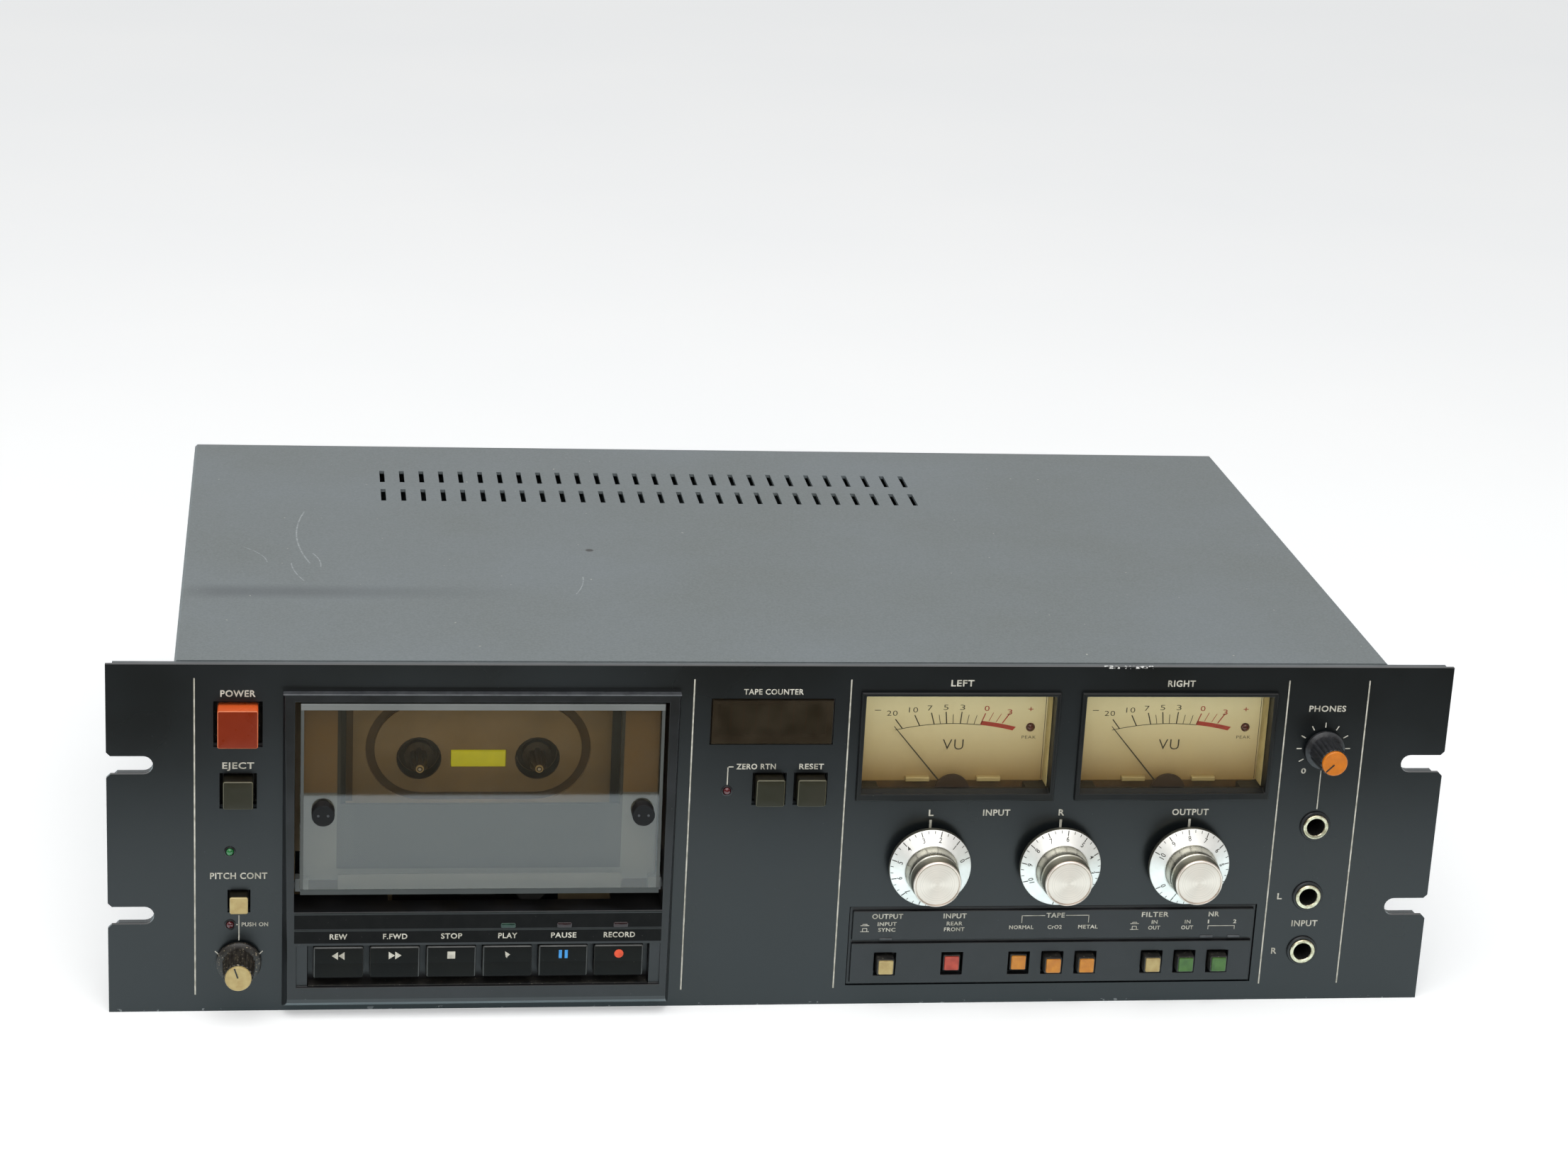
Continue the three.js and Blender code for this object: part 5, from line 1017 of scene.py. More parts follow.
class TurnLevelKnobs(bpy.types.Operator):
    """Turn the three skirted level knobs and print their scales"""
    bl_idname = "deck.turn_level_knobs"
    bl_label = "Level knobs"

    def execute(self, context):
        profile = [(0.0, -20.6), (7.75, -20.65), (7.85, -20.4), (7.98, -20.4), (8.08, -20.72), (8.35, -20.8),
                   (8.62, -20.6), (8.75, -20.2), (8.75, -15.7), (9.1, -15.4), (9.2, -15.2), (9.2, -11.0),
                   (9.3, -9.4), (9.7, -8.3), (10.4, -7.6), (14.6, -5.95), (14.9, -5.75),
                   (15.0, -5.4), (15.0, -3.8), (14.8, -3.5), (13.6, -3.5), (13.6, -4.4), (3.0, -4.4),
                   (3.0, 12.2), (0.0, 12.2)]
        for node, (x, reading) in LEVEL_KNOBS.items():
            finishes = ["turned_aluminium_at_%.1f" % x, "satin_aluminium", "brushed_neck_aluminium",
                        "matt_band_aluminium"]
            piece(node + "_metal", turned(profile, x, KNOB_Z, steps=128), finishes, body=node,
                  stands_for=(node,), smooth=50.0,
                  chosen=functools.partial(level_knob_finish, x=x))
            shapes = []
            for mark in range(31):
                major = mark % 3 == 0
                inner = 12.9 if major else 13.7
                half = 0.16 if major else 0.11
                flat = np.array([(-half, inner), (half, inner), (half, 14.7), (-half, 14.7)])
                shapes.append((on_skirt(flat, (mark / 3.0 - reading) * 30.0, x), [[0, 1, 2, 3]]))
            for number in range(11):
                points, faces = lettering([(str(number), 0.0, 0.0, 1.85, 0.0)], weight=0.005)
                flat = np.stack([points[:, 0], points[:, 2] + 11.7], axis=-1)
                shapes.append((on_skirt(flat, (number - reading) * 30.0, x), faces))
            piece(node + "_scale", together(shapes), "screen_print_black", body=node, solid=False)
        return {"FINISHED"}


class TurnSmallKnobs(bpy.types.Operator):
    """Mould the fluted pitch and phones knobs with their coloured caps"""
    bl_idname = "deck.turn_small_knobs"
    bl_label = "Small knobs"

    def execute(self, context):
        for node, x, z, collar, cap, pointer in (("pitch_knob", PITCH_X, -46.4, 7.9, "cream_cap_abs", 18.0),
                                                 ("phones_knob", RIGHT_COLUMN_X, PHONES_Z, 7.3,
                                                  "phones_cap_abs", 135.0)):
            dense = [(0.0, -14.3), (4.8, -14.3)]
            dense += [(5.15 + 0.75 * s, -14.1 + 10.9 * s) for s in np.linspace(0.0, 1.0, 8)]
            dense += [(collar - 0.6, -2.9), (collar, -2.4), (collar, -1.2), (collar - 0.3, -0.9), (3.0, -0.9),
                      (3.0, 12.2), (0.0, 12.2)]
            grip = "knob_black_abs" if node == "pitch_knob" else "knob_grey_abs"
            shape = turned(dense, x, z, steps=144, flutes=18, flute_depth=0.42, fluted=(-14.15, -3.1))
            piece(node + "_grip", shape, grip, body=node, stands_for=(node,), smooth=32.0)
            t = np.linspace(0.0, np.pi / 2, 7)
            edge = np.stack([4.15 + 0.5 * np.sin(t), -15.5 + 0.5 * (1.0 - np.cos(t))], axis=-1)
            cap_profile = np.concatenate([[(0.0, -15.35), (3.4, -15.42)], edge,
                                          [(4.65, -14.25), (0.0, -14.25)]])
            piece(node + "_cap", turned(cap_profile, x, z, steps=64), cap, body=node)
            turn = math.radians(pointer)
            outward = np.array([-math.sin(turn), math.cos(turn)])
            middle = np.array([x, z])
            notch = stroke([middle + outward * 0.4, middle + outward * 4.4], 0.55, at_depth(-15.48))
            piece(node + "_pointer", notch, "dusty_black_abs", body=node, solid=False)
        return {"FINISHED"}


class MouldButtons(bpy.types.Operator):
    """Mould the five square push buttons"""
    bl_idname = "deck.mould_buttons"
    bl_label = "Push buttons"

    def execute(self, context):
        for node, x, z, cap, flange, front, colour, slot in (
                ("power_button", -196.0, 43.9, 14.0, 18.6, -5.7, "power_cap_abs", "power_cap"),
                ("eject_button", -195.9, 18.9, 10.4, 14.6, -4.8, "olive_cap_abs", "olive_cap"),
                ("zero_return_button", -8.2, 19.2, 10.2, 13.8, -4.7, "olive_cap_abs", "olive_cap"),
                ("reset_button", 6.7, 19.2, 10.2, 13.8, -4.7, "olive_cap_abs", "olive_cap"),
                ("pitch_button", -195.6, -23.2, 6.4, 9.6, -4.5, "cream_cap_abs", "cream_cap")):
            profile = [(0.0, 3.2), (0.0, front + 0.5), (0.08, front + 0.24), (0.3, front + 0.03),
                       (0.5, front), (cap * 0.3, front + 0.06)]
            # The edge finish is a lighter copy of the cap's colour, a painted highlight; the power cap's
            # sides are painted lighter too, as light from above.
            edge = colour.split("_")[0] + "_edge_abs"
            side = "power_cap_top_abs" if node == "power_button" else "button_side_abs"
            piece(node + "_cap", slab(x, z, cap, cap, 0.7, profile), [colour, side, edge], body=node,
                  stands_for=(node,), smooth=25.0,
                  chosen=functools.partial(button_finish, front=front))
            skirt = [(0.0, 7.4), (0.0, 5.6), (0.4, 5.2), ((flange - cap) / 2 - 0.1, 3.2)]
            piece(node + "_skirt", slab(x, z, flange, flange, 0.8, skirt), "dusty_black_abs", body=node)
        return {"FINISHED"}


class MouldSmallKeys(bpy.types.Operator):
    """Mould the eight small switch keys with their coloured faces"""
    bl_idname = "deck.mould_small_keys"
    bl_label = "Small keys"

    def execute(self, context):
        for node, (step, colour) in SMALL_KEYS.items():
            x = SMALL_KEY_X + SMALL_KEY_STEP * step
            front = -1.3 if node in ("input_select_key", "tape_normal_key") else -4.5
            sleeve = [(0.0, front + 10.5), (0.0, front + 1.5), (0.15, front + 0.9), (0.5, front + 0.75)]
            piece(node + "_sleeve", slab(x, SMALL_KEY_Z, 6.4, 6.4, 0.5, sleeve), "dusty_black_abs", body=node,
                  stands_for=(node,), smooth=25.0)
            face = [(0.0, front + 1.2), (0.0, front + 0.35), (0.1, front + 0.12), (0.35, front),
                    (1.2, front + 0.12), (2.0, front + 0.2)]
            piece(node + "_face", slab(x, SMALL_KEY_Z, 5.4, 5.4, 0.5, face), colour + "_cap_abs", body=node,
                  smooth=25.0)
            spring = [(0.0, 6.3 if front < -4 else 9.5), (0.0, 5.0 if front < -4 else 8.2)]
            piece(node + "_collar", slab(x, SMALL_KEY_Z, 10.4, 11.4, 0.8, spring), "dusty_black_abs",
                  body=node)
        return {"FINISHED"}


class MouldTransportKeys(bpy.types.Operator):
    """Mould the six light-touch transport keys and print their symbols"""
    bl_idname = "deck.mould_transport_keys"
    bl_label = "Transport keys"

    def execute(self, context):
        t = np.linspace(0.0, np.pi / 2, 5)
        top = TRANSPORT_KEY_TOP
        foot = -50.4
        crease = -44.4
        head_round = np.stack([-6.8 - 0.7 * np.sin(t), top - 0.7 * (1.0 - np.cos(t))], axis=-1)
        section = np.concatenate([[(2.0, top)], head_round, [
            (-7.5, crease + 0.5), (-7.44, crease + 0.2), (-7.42, crease), (-7.46, crease - 0.2),
            (-7.5, foot + 1.2), (-7.3, foot + 0.55), (-6.7, foot + 0.1), (-6.2, foot), (2.0, foot)]])
        stations = ((-8.85, 0.9), (-8.78, 0.45), (-8.6, 0.18), (-8.3, 0.04), (-7.9, 0.0), (7.9, 0.0),
                    (8.3, 0.04), (8.6, 0.18), (8.78, 0.45), (8.85, 0.9))
        for step, node in enumerate(TRANSPORT_KEYS):
            x = TRANSPORT_KEY_X + TRANSPORT_KEY_STEP * step
            placed_stations = [(x + station, shrink) for station, shrink in stations]
            # The edge finish is a painted highlight on the rounded head and ends.
            piece(node + "_cap", carried(section, placed_stations), ["key_black_abs", "key_edge_abs"],
                  body=node, stands_for=(node,), smooth=28.0,
                  chosen=functools.partial(transport_key_finish, x=x))
            stem = [(0.0, 8.0), (0.0, 2.0)]
            piece(node + "_stem", slab(x, -44.3, 9.0, 8.0, 0.8, stem), "dusty_black_abs", body=node)
            symbol, ink = key_symbol(node, x, -41.4, at_depth(-7.5))
            piece(node + "_symbol", symbol, ink, body=node, solid=False)
        return {"FINISHED"}


class BuildMeters(bpy.types.Operator):
    """Build the needles, scales, clips and peak lamps of the two level meters"""
    bl_idname = "deck.build_meters"
    bl_label = "Level meters"

    def execute(self, context):
        # Each scale mark: its label, how far its foot lies from the meter's middle and how high, and its
        # lean to the left in degrees
        marks = ((20, -18.7, 38.05, 37.5), (10, -12.5, 39.2, 26.2), (7, -7.2, 39.8, 15.7),
                 (6, -4.9, 39.9, 10.9), (5, -2.6, 40.0, 6.0), (4, -0.3, 40.0, 1.1), (3, 2.4, 40.0, -4.7),
                 (2, 4.85, 39.9, -10.0), (1, 7.45, 39.8, -15.4), (0, 9.9, 39.7, -20.2),
                 (-1, 12.9, 41.0, -24.7), (-2, 15.6, 40.7, -29.4), (-3, 17.9, 40.2, -33.5))
        card = at_depth(DIAL_FACE)
        for side, x in zip(("left", "right"), METER_X):
            black = []
            red = []
            for label, offset, z, lean in marks:
                way = np.array([-math.sin(math.radians(lean)), math.cos(math.radians(lean))])
                start = np.array([x + offset, z])
                long_mark = label in (20, 10, 7, 5, 3, 0, -3)
                mark = stroke([start, start + way * (4.6 if long_mark else 3.6)], 0.4 if long_mark else 0.22,
                              card)
                (red if label <= 0 else black).append(mark)
            black.append(stroke(arc(x, SCALE_Z - SCALE_RADIUS, SCALE_RADIUS, 13.6, -6.3, 40), 0.24, card))
            inner = arc(x, SCALE_Z - SCALE_RADIUS, SCALE_RADIUS, -6.3, -13.9, 16)
            outer = arc(x, SCALE_Z - SCALE_RADIUS, SCALE_RADIUS + 1.6, -6.3, -14.4, 16)
            red.append(skin(laid(np.stack([inner, outer], axis=1), card)))
            words = [("20", x - 22.8, 43.9, 2.1, 3.9), ("10", x - 15.1, 45.2, 2.1, 3.3),
                     ("7", x - 9.1, 45.9, 2.1, 1.8), ("5", x - 3.2, 46.2, 2.1, 1.8),
                     ("3", x + 2.9, 46.2, 2.1, 1.8), ("-", x - 28.1, 45.4, 2.4, 2.2),
                     ("VU", x + 0.3, 31.7, 4.3, 7.7), ("PEAK", x + 28.1, 34.7, 1.3, 5.3)]
            black.append(lettering(words, card, weight=-0.01))
            black.append(stroke([(x + 33.6, 53.4), (x + 33.6, 18.4)], 0.2, card))
            red.append(lettering([("0", x + 11.9, 45.8, 2.1, 1.8), ("3", x + 20.4, 44.4, 2.1, 1.8),
                                  ("+", x + 28.1, 45.5, 2.4, 1.9)], card, weight=0.0))
            piece(side + "_meter_scale", together(black), "screen_print_black", solid=False)
            piece(side + "_meter_red_scale", together(red), "screen_print_red", solid=False)
            t = np.linspace(0.0, np.pi / 2, 7)
            dome = np.stack([1.45 * np.sin(t), DIAL_FACE - 0.2 - 0.9 * np.cos(t)], axis=-1)
            lamp = np.concatenate([dome, [(1.65, DIAL_FACE - 0.25), (1.65, DIAL_FACE - 0.02),
                                          (0.0, DIAL_FACE - 0.02)]])
            piece(side + "_peak_lamp", turned(lamp, x + 28.4, 38.7, steps=28), "lamp_lens_red")
            for number, clip_x in enumerate((-12.3, 14.0)):
                clip = [(0.0, DIAL_FACE - 0.02), (0.0, 9.2), (0.3, 8.9)]
                piece("%s_meter_clip_%d" % (side, number + 1), slab(x + clip_x, 19.0, 8.8, 1.7, 0.3, clip),
                      "yellowed_acetal")
            # The cheeks' cream is a painted reflection of the card in the housing's side walls.
            cheek = [(0.0, DIAL_FACE - 0.1), (0.0, 4.2), (0.05, 4.1)]
            cheeks = together([slab(x + offset, 36.4, 0.25, 36.2, 0.1, cheek) for offset in (-34.35, 34.35)])
            piece(side + "_meter_card_cheeks", cheeks, "card_cheek_cream")
            foot_strip = [(0.0, DIAL_FACE + 0.9), (0.0, DIAL_FACE + 0.05)]
            piece(side + "_meter_card_foot", slab(x, 15.8, 66.0, 4.8, 0.3, foot_strip), "aged_card_foot")
            body = side + "_meter_needle"
            rest = math.radians(40.0)
            way = np.array([-math.sin(rest), math.cos(rest)])
            square = np.array([way[1], -way[0]])
            foot = np.array([x, METER_PIVOT_Z])
            along = np.linspace(2.0, 34.5, 12)
            half = np.interp(along, (2.0, 30.0, 34.5), (0.3, 0.18, 0.12))
            loop = np.array([(-1.0, 8.45), (1.0, 8.45), (1.0, 8.7), (-1.0, 8.7)])
            centre = foot + along[:, None] * way
            flat = centre[:, None, :] + (half[:, None] * loop[:, 0])[..., None] * square
            points = np.stack([flat[..., 0], np.repeat(loop[None, :, 1], len(along), axis=0), flat[..., 1]],
                              axis=-1)
            hub = turned([(0.0, 8.0), (1.6, 8.0), (2.0, 8.3), (2.0, 9.2), (1.6, 9.5), (0.0, 9.5)], x,
                         METER_PIVOT_Z, steps=32)
            piece(side + "_meter_pointer", together([skin(points, close_columns=True, caps=True), hub]),
                  "screen_print_black", body=body, stands_for=(body,))
        return {"FINISHED"}


class FitDoor(bpy.types.Operator):
    """Fit the door's round screws, the head edge of its pane, strips of painted shade along the pane's sides
    and foot, and the trim at its foot
    """
    bl_idname = "deck.fit_door"
    bl_label = "Door screws and pane edges"

    def execute(self, context):
        for number, (x, z) in enumerate(((-166.4, 12.8), (-53.8, 12.6))):
            face = -4.3
            head = face - 4.4
            t = np.linspace(0.0, np.pi / 2, 5)
            edge = np.stack([3.75 + 0.25 * np.sin(t), head + 0.25 * (1.0 - np.cos(t))], axis=-1)
            profile = np.concatenate([[(0.0, head + 0.06), (3.3, head + 0.06), (3.4, head)], edge,
                                      [(4.05, face), (2.4, face), (2.4, 1.5), (0.0, 1.5)]])
            piece("door_screw_%d" % (number + 1), turned(profile, x, z, steps=48), "screw_black_abs",
                  body="cassette_door", smooth=30.0)
            for notch, side in enumerate((-1, 1)):
                hole = [(0.0, head - 0.02), (0.4, head - 0.02), (0.5, head + 0.1), (0.0, head + 0.1)]
                piece("door_screw_%d_notch_%d" % (number + 1, notch + 1),
                      turned(hole, x + 1.7 * side, z, steps=16), "edge_worn_abs", body="cassette_door")
        head_front = PANE_FRONT + PANE_SLOPE * (PANE_HEAD_Z - PANE_FOOT_Z)
        section = [(head_front - 0.2, 50.3), (head_front - 0.12, 52.3), (head_front + 0.1, 52.52),
                   (head_front + 2.9, 52.52), (head_front + 2.9, 52.3), (head_front + 0.4, 52.2),
                   (head_front + 0.3, 50.3)]
        piece("door_pane_head_edge", carried(section, ((-174.3, 0.0), (-47.0, 0.0))), "ground_acrylic_edge",
              body="cassette_door")
        # Strips of painted shade along the pane's sides and foot.
        lines = together([stroke([(x, 50.3), (x, -16.4)], 1.1, pane_front) for x in (-173.75, -47.55)])
        piece("door_pane_side_edges", lines, "side_acrylic_edge", body="cassette_door", solid=False)
        band = patch([(-174.2, -18.2), (-47.1, -18.2), (-47.1, -16.2), (-174.2, -16.2)], pane_front)
        piece("door_pane_foot_edge", band, "shaded_acrylic_edge", body="cassette_door", solid=False)
        trim = [(0.0, PANE_FRONT + 4.0), (0.0, PANE_FRONT + 3.2)]
        foot_trim = leaned(slab(-110.6, -15.0, 100.8, 6.0, 0.3, trim), PANE_SLOPE, PANE_FOOT_Z)
        piece("door_foot_trim", foot_trim, "holder_grey_abs", body="cassette_door")
        return {"FINISHED"}


class FitBay(bpy.types.Operator):
    """Fit the reel spindles, the yellow bar with its painted glow, the bay's oval groove in painted shade,
    its dark bands and painted foot shade, and the bezel's edges with a painted highlight along its head
    """
    bl_idname = "deck.fit_bay"
    bl_label = "Cassette bay"

    def execute(self, context):
        for node, x in (("left_reel_spindle", -132.25), ("right_reel_spindle", -89.75)):
            z = SPINDLE_Z
            profile = [(0.0, 11.4), (0.9, 11.5), (1.5, 12.2), (1.7, 13.0), (2.6, 14.4), (3.3, 16.6),
                       (3.4, 24.0), (5.2, 24.6), (5.3, 27.2), (7.2, 27.6), (7.3, 28.0), (2.0, 28.0),
                       (2.0, 33.5), (0.0, 33.5)]
            shape = turned(profile, x, z, steps=96, flutes=6, flute_depth=1.1, fluted=(14.0, 24.2))
            piece(node + "_hub", shape, "dark_acetal", body=node, stands_for=(node,),
                  smooth=40.0)
            tip = [(0.0, 11.2), (0.45, 11.25), (0.6, 11.5), (0.62, 12.1), (0.0, 12.1)]
            piece(node + "_tip", turned(tip, x, z, steps=24), "white_acetal", body=node)
            collar = [(1.0, 12.1), (1.0, 11.45), (1.15, 11.35), (1.4, 11.5), (1.5, 12.6)]
            piece(node + "_collar", turned(collar, x, z, steps=32, ring=True), "yellowed_acetal", body=node)
            liner = [(7.95, 21.95), (7.6, 21.95), (7.5, 28.1), (7.95, 28.2)]
            piece(node + "_well", turned(liner, x, z, steps=48, ring=True), "well_black_abs")
        bar = [(0.0, 24.0), (0.0, 21.9), (0.25, 21.6)]
        piece("cassette_light_bar", slab(BAY_X, SPINDLE_Z, 19.6, 6.2, 0.3, bar), "fluorescent_yellow_acrylic")
        face = at_depth(22.0)
        # The oval groove's dark brown ring is painted shade in the groove.
        piece("bay_oval_groove", frame_patch(BAY_X, 26.0, 80.6, 39.8, 19.9, 3.0, at_depth(23.0)),
              "groove_brown_enamel", solid=False)
        bands = together([patch([(a, 6.0), (b, 6.0), (b, 52.0), (a, 52.0)], face) for a,
                          b in ((-159.6, -155.8), (-62.2, -58.4))])
        piece("bay_guide_bands", bands, "groove_brown_enamel", solid=False)
        shade = together([patch([(a, -24.9), (b, -24.9), (b, -13.5), (a, -13.5)], face)
                          for a, b in ((-176.0, -124.0), (-98.0, -45.8))])
        piece("bay_foot_shade", shade, "matt_black_strip", solid=False)
        for number, z in enumerate((-25.6, -31.9)):
            depth = float(bezel_depth(np.array([0.0]), np.array([z]))[0])
            lip = [(depth + 0.5, z - 0.3), (depth - 0.02, z - 0.26), (depth - 0.1, z),
                   (depth - 0.02, z + 0.26), (depth + 0.5, z + 0.3)]
            ends = ((-176.2, 0.1), (-176.0, 0.0), (-45.6, 0.0), (-45.4, 0.1))
            piece("bezel_step_%d" % (number + 1), carried(lip, ends), "bezel_line_abs")
        for number, (z0, z1) in enumerate(((-31.4, -26.1), (-36.8, -32.3))):
            strip = patch([(-176.2, z0), (-45.5, z0), (-45.5, z1), (-176.2, z1)], strip_depth)
            piece("bezel_strip_%d" % (number + 1), strip, "matt_black_strip", solid=False)
        # The lip's lighter grey is a painted highlight along the bezel's head.
        lip = [(-2.3, 55.6), (-2.95, 55.7), (-3.1, 56.0), (-2.95, 56.25), (-0.1, 56.3), (-0.1, 55.6)]
        piece("bezel_head_edge", carried(lip, ((-180.4, 0.0), (-41.4, 0.0))), "edge_worn_abs")
        tray = [(-6.4, -53.65), (-6.4, -53.25), (-1.3, -53.1), (-1.3, -53.65)]
        piece("key_well_dust", carried(tray, ((-171.2, 0.0), (-49.9, 0.0))), "dusty_black_abs")
        return {"FINISHED"}


class FitJacks(bpy.types.Operator):
    """Fit the nickel noses and collars of the three jacks and the rings of the rear sockets"""
    bl_idname = "deck.fit_jacks"
    bl_label = "Jacks and sockets"

    def execute(self, context):
        for node, z in JACKS.items():
            x = RIGHT_COLUMN_X
            nose = [(3.3, 3.0), (3.3, -1.15), (3.5, -1.45), (4.3, -1.5), (4.65, -1.3), (4.75, -0.9),
                    (4.75, -0.1), (4.7, 3.0)]
            piece(node + "_nose", turned(nose, x, z, steps=48, ring=True), "nickel_plate",
                  smooth=30.0)
            collar = [(4.8, 0.5), (4.8, -0.85), (5.0, -1.0), (5.5, -0.95), (5.75, -0.6), (5.8, -0.05),
                      (5.4, 0.5)]
            piece(node + "_collar", turned(collar, x, z, steps=48, ring=True), "moulded_black_abs",
                  smooth=30.0)
        for column, x in enumerate((-137.0, -123.0)):
            for row, (z, colour) in enumerate(((19.0, "socket_white"), (5.0, "socket_red"))):
                ring = [(4.3, REAR_FACE), (4.3, 266.6), (4.6, 266.9), (5.6, 266.9), (5.9, 266.6),
                        (5.9, REAR_FACE)]
                piece("phono_ring_%d_%d" % (column + 1, row + 1), turned(ring, x, z, steps=40, ring=True),
                      colour)
        return {"FINISHED"}


class FitScrews(bpy.types.Operator):
    """Fit the screws of the rear panel and the cover's cheeks, and the screen behind the rear vents"""
    bl_idname = "deck.fit_screws"
    bl_label = "Screws"

    def execute(self, context):
        t = np.linspace(0.0, np.pi / 2, 6)
        head = np.stack([2.9 * np.sin(t), -1.0 * np.cos(t)], axis=-1)
        for number, (x, z) in enumerate(((-205.0, 55.0), (0.0, 57.0), (205.0, 55.0), (-205.0, -56.0),
                                         (0.0, -58.0), (205.0, -56.0))):
            profile = np.concatenate([head * (1.0, -1.0) + (0.0, REAR_FACE), [(2.9, 263.6), (0.0, 263.6)]])
            piece("rear_screw_%d" % (number + 1), turned(profile, x, z, steps=32), "zinc_plated_steel",
                  smooth=30.0)
        cheek_head = np.concatenate([[(0.0, 0.62), (0.9, 0.62), (1.0, 1.0)], (head * (1.0, -1.0))[1:],
                                     [(2.9, -0.3), (0.0, -0.3)]])
        for side, side_name in ((-1, "left"), (1, "right")):
            for number, y in enumerate((26.0, 136.0, 246.0)):
                piece("%s_cheek_screw_%d" % (side_name, number + 1), on_cheek(cheek_head, side, y, -52.0),
                      "zinc_plated_steel", smooth=30.0)
        screen = [(0.0, 261.9), (0.0, 261.2)]
        piece("rear_vent_screen", slab(104.0, 32.0, 94.0, 28.0, 1.0, screen), "matt_black_strip")
        return {"FINISHED"}


class SetStage(bpy.types.Operator):
    """Set the pale table, the soft light and the camera"""
    bl_idname = "deck.set_stage"
    bl_label = "Stage"

    def execute(self, context):
        scene = context.scene
        settings = scene.deck_stage
        floor = self.plane("studio_table", [(-9, -9, 0), (9, -9, 0), (9, 9, 0), (-9, 9, 0)],
                           self.table_finish())
        front = PANEL_FACE[1] * MM
        cards = [self.plane("dark_room_wall", [(-9, -6, 0.0), (9, -6, 0.0), (9, -6, 3.4), (-9, -6, 3.4)],
                            self.flag_finish())]
        panel_end = front - settings.panel_table_edge
        pane_end = front - settings.pane_table_edge
        for name, corners in (
                ("dark_room_left", [(-9, -6), (-0.178, -6), (-0.178, panel_end), (-9, panel_end)]),
                ("dark_room_pane", [(-0.178, -6), (0.608, -6), (-0.013, pane_end), (-0.178, pane_end)]),
                ("dark_room_right", [(0.608, -6), (9, -6), (9, panel_end), (-0.0223, panel_end)])):
            corners = [(x, y, 0.003) for x, y in corners]
            cards.append(self.plane(name, corners, self.flag_finish()))
        # The cards show only in mirrors: painted reflections of the dark room.
        for card in cards:
            card.visible_camera = False
            card.visible_shadow = False
            card.visible_diffuse = False
            card.visible_transmission = False
        self.soft_lamp("overhead_soft_lamp", (1.6, 1.1), settings.soft_lamp, (-0.15, -0.6, 1.3),
                       (14.0, -4.0, 0.0))
        self.soft_lamp("front_soft_lamp", (1.6, 0.9), settings.front_lamp, (-0.1, -1.9, 1.0),
                       (66.0, 0.0, 0.0))
        self.light_room(scene, settings.room_light)
        camera = bpy.data.cameras.new("photograph_camera")
        camera.lens = settings.lens
        camera.sensor_width = 36.0
        camera.sensor_fit = "HORIZONTAL"
        viewer = bpy.data.objects.new("photograph_camera", camera)
        viewer.location = (-0.17783, -1.25978, 0.54891)
        viewer.rotation_euler = (1.2440395, -0.0515452, -0.1324295)
        scene.collection.objects.link(viewer)
        scene.camera = viewer
        scene.view_settings.view_transform = "Standard"
        return {"FINISHED"}

    def soft_lamp(self, name, size, power, place, turn):
        """A wide soft lamp at a place in metres, turned by degrees from straight down."""
        lamp = bpy.data.lights.new(name, "AREA")
        lamp.shape = "RECTANGLE"
        lamp.size, lamp.size_y = size
        lamp.energy = power
        holder = bpy.data.objects.new(name, lamp)
        holder.location = place
        holder.rotation_euler = [math.radians(angle) for angle in turn]
        bpy.context.scene.collection.objects.link(holder)

    def plane(self, name, corners, material):
        """One flat face of the stage."""
        mesh = bpy.data.meshes.new(name)
        mesh.from_pydata(corners, [], [(0, 1, 2, 3)])
        mesh.materials.append(material)
        made = bpy.data.objects.new(name, mesh)
        bpy.context.scene.collection.objects.link(made)
        return made

    def seen_rays(self, tree):
        """1 for rays that carry a picture: from the camera, a mirror or glass."""
        rays = add_node(tree, "ShaderNodeLightPath", {}).outputs
        pair = worked_out(tree, "MAXIMUM", rays["Is Camera Ray"], rays["Is Glossy Ray"])
        return worked_out(tree, "MAXIMUM", pair, rays["Is Transmission Ray"])

    def table_finish(self):
        """Matt white table: diffuse, so that it keeps the shadow, with a little of its own white in pictures
        and a blue-green glow that shows only in mirrors, a painted reflection."""
        tree, place = new_finish("matt_white_table")
        soft = speckle(tree, place, 400.0)
        colour = blended(tree, shared_out(tree, soft, 0.3, 0.7), linear("#f3f3f2"), linear("#eff0f0"))
        diffuse = add_node(tree, "ShaderNodeBsdfDiffuse", {"Color": colour})
        rays = add_node(tree, "ShaderNodeLightPath", {}).outputs
        seen = add_node(tree, "ShaderNodeEmission", {
            "Color": (1.0, 1.0, 1.0, 1.0), "Strength": worked_out(tree, "MULTIPLY", self.seen_rays(tree),
                                                                  0.3)})
        # Painted reflection: the table shows a blue-green glow in mirrors only.
        mirrored = add_node(tree, "ShaderNodeEmission", {
            "Color": (0.5, 1.0, 1.15, 1.0), "Strength": worked_out(tree, "MULTIPLY", rays["Is Glossy Ray"],
                                                                   0.42)})
        glow = add_node(tree, "ShaderNodeAddShader", {0: seen.outputs[0], 1: mirrored.outputs[0]})
        surface = add_node(tree, "ShaderNodeAddShader", {0: diffuse.outputs[0], 1: glow.outputs[0]})
        return finished_with(tree, surface)

    def flag_finish(self):
        """Dark studio cloth, which stands for the dark room in front of the table: a brown emission seen only
        in mirrors, a painted reflection on the pane and the panel.
        """
        name = "dark_studio_cloth"
        if name not in bpy.data.materials:
            tree, place = new_finish(name)
            colour = blended(tree, speckle(tree, place, 500.0), linear("#544936"), linear("#5a4e3a"))
            cloth = add_node(tree, "ShaderNodeEmission", {"Color": colour, "Strength": 1.0})
            finished_with(tree, cloth)
        return bpy.data.materials[name]

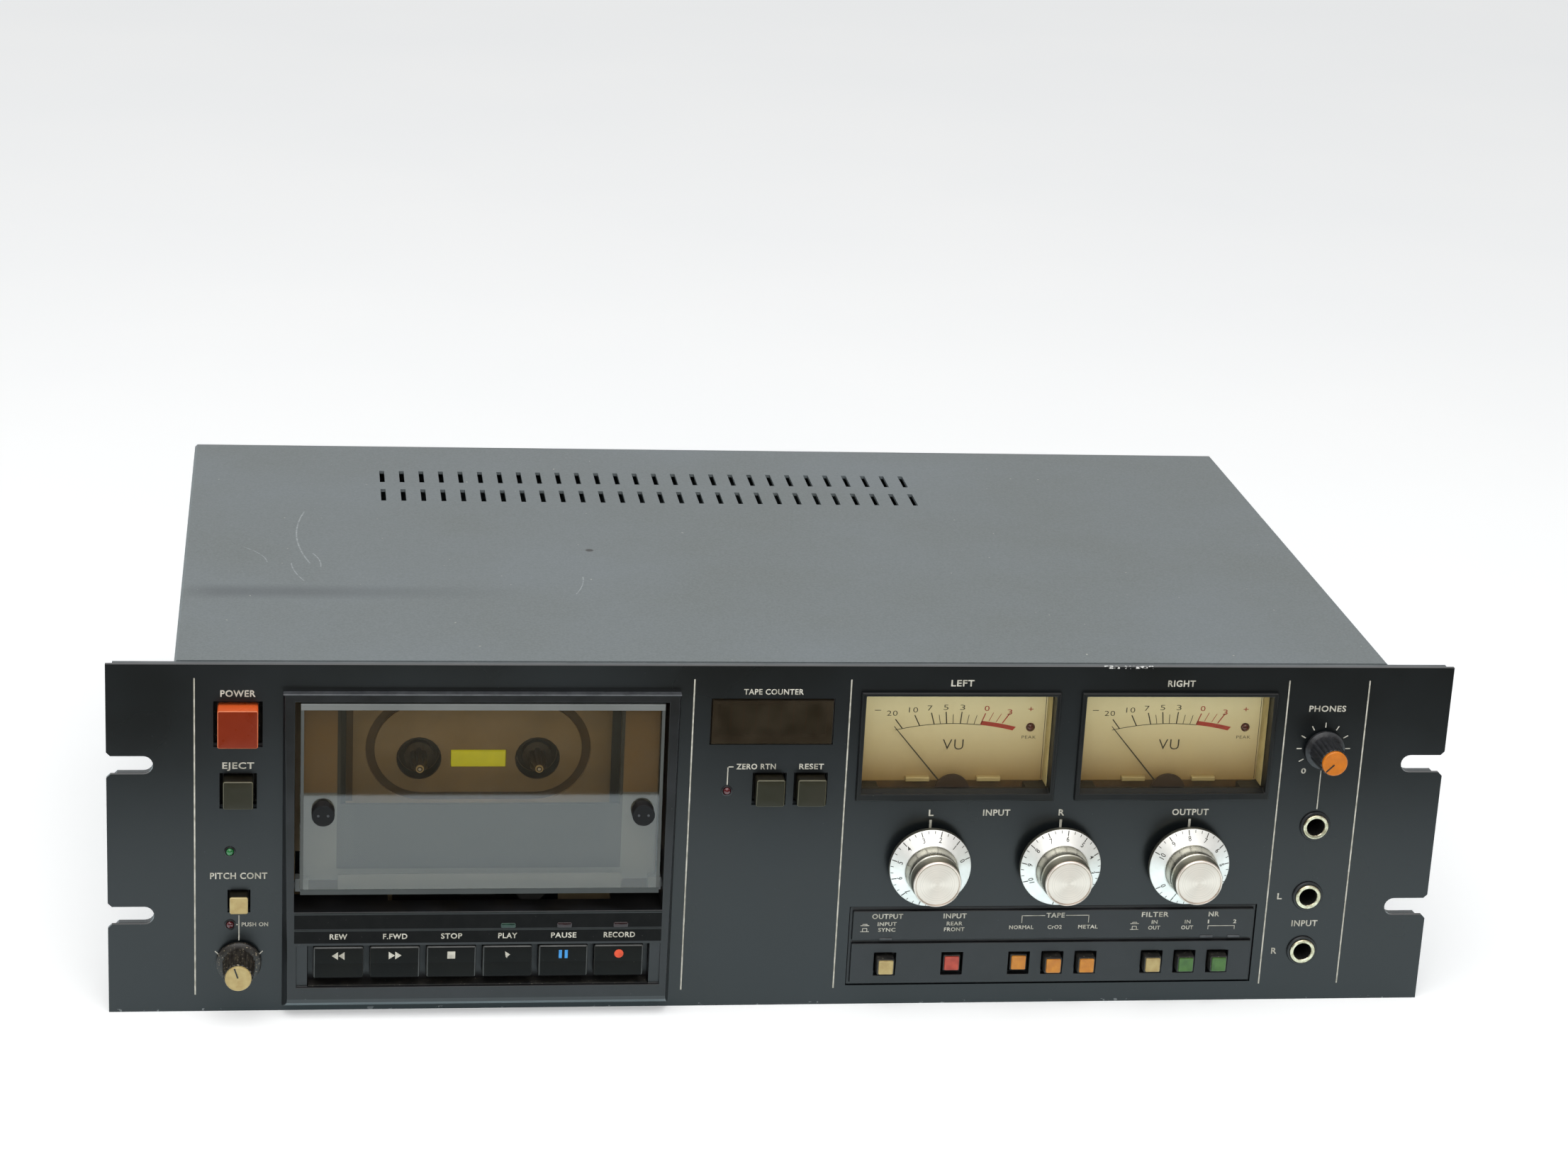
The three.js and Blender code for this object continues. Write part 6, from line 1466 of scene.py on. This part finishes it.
    def light_room(self, scene, strength):
        """White for rays that carry a picture, and an even soft light for the rest."""
        world = bpy.data.worlds.new("pale_room")
        scene.world = world
        world.use_nodes = True
        tree = world.node_tree
        tree.nodes.clear()
        white = add_node(tree, "ShaderNodeBackground", {"Color": (1.0, 1.0, 1.0, 1.0), "Strength": 1.0})
        soft = add_node(tree, "ShaderNodeBackground", {"Color": (0.97, 0.985, 1.0, 1.0),
                                                       "Strength": strength})
        mixed = add_node(tree, "ShaderNodeMixShader", {0: self.seen_rays(tree), 1: soft.outputs[0],
                                                       2: white.outputs[0]})
        add_node(tree, "ShaderNodeOutputWorld", {"Surface": mixed.outputs[0]})


PIECE_OPERATORS = (DressNodes, PrintPanel, PrintSwitchStrip, FitLamps, TurnLevelKnobs, TurnSmallKnobs,
                   MouldButtons, MouldSmallKeys, MouldTransportKeys, BuildMeters, FitDoor, FitBay, FitJacks,
                   FitScrews, SetStage)


class DeckPanel(bpy.types.Panel):
    """Lists the operators and the choices of the deck"""
    bl_idname = "VIEW3D_PT_cassette_deck"
    bl_label = "Cassette deck"
    bl_space_type = "VIEW_3D"
    bl_region_type = "UI"
    bl_category = "Cassette deck"

    def draw(self, context):
        for operator in PIECE_OPERATORS:
            self.layout.operator(operator.bl_idname)
        for group in (context.scene.deck_colours, context.scene.deck_sizes, context.scene.deck_stage):
            box = self.layout.box()
            for choice in group.__annotations__:
                box.prop(group, choice)


CLASSES = (DeckColours, DeckSizes, DeckStage, *PIECE_OPERATORS, DeckPanel)


def register():
    for kind in CLASSES:
        bpy.utils.register_class(kind)
    bpy.types.Scene.deck_colours = bpy.props.PointerProperty(type=DeckColours)
    bpy.types.Scene.deck_sizes = bpy.props.PointerProperty(type=DeckSizes)
    bpy.types.Scene.deck_stage = bpy.props.PointerProperty(type=DeckStage)


def unregister():
    del bpy.types.Scene.deck_stage
    del bpy.types.Scene.deck_sizes
    del bpy.types.Scene.deck_colours
    for kind in reversed(CLASSES):
        bpy.utils.unregister_class(kind)


def main():
    register()
    for operator in PIECE_OPERATORS:
        group, name = operator.bl_idname.split(".")
        result = getattr(getattr(bpy.ops, group), name)()
        if result != {"FINISHED"}:
            raise RuntimeError("the operator " + operator.bl_idname + " didn't finish")


if __name__ == "__main__":
    main()
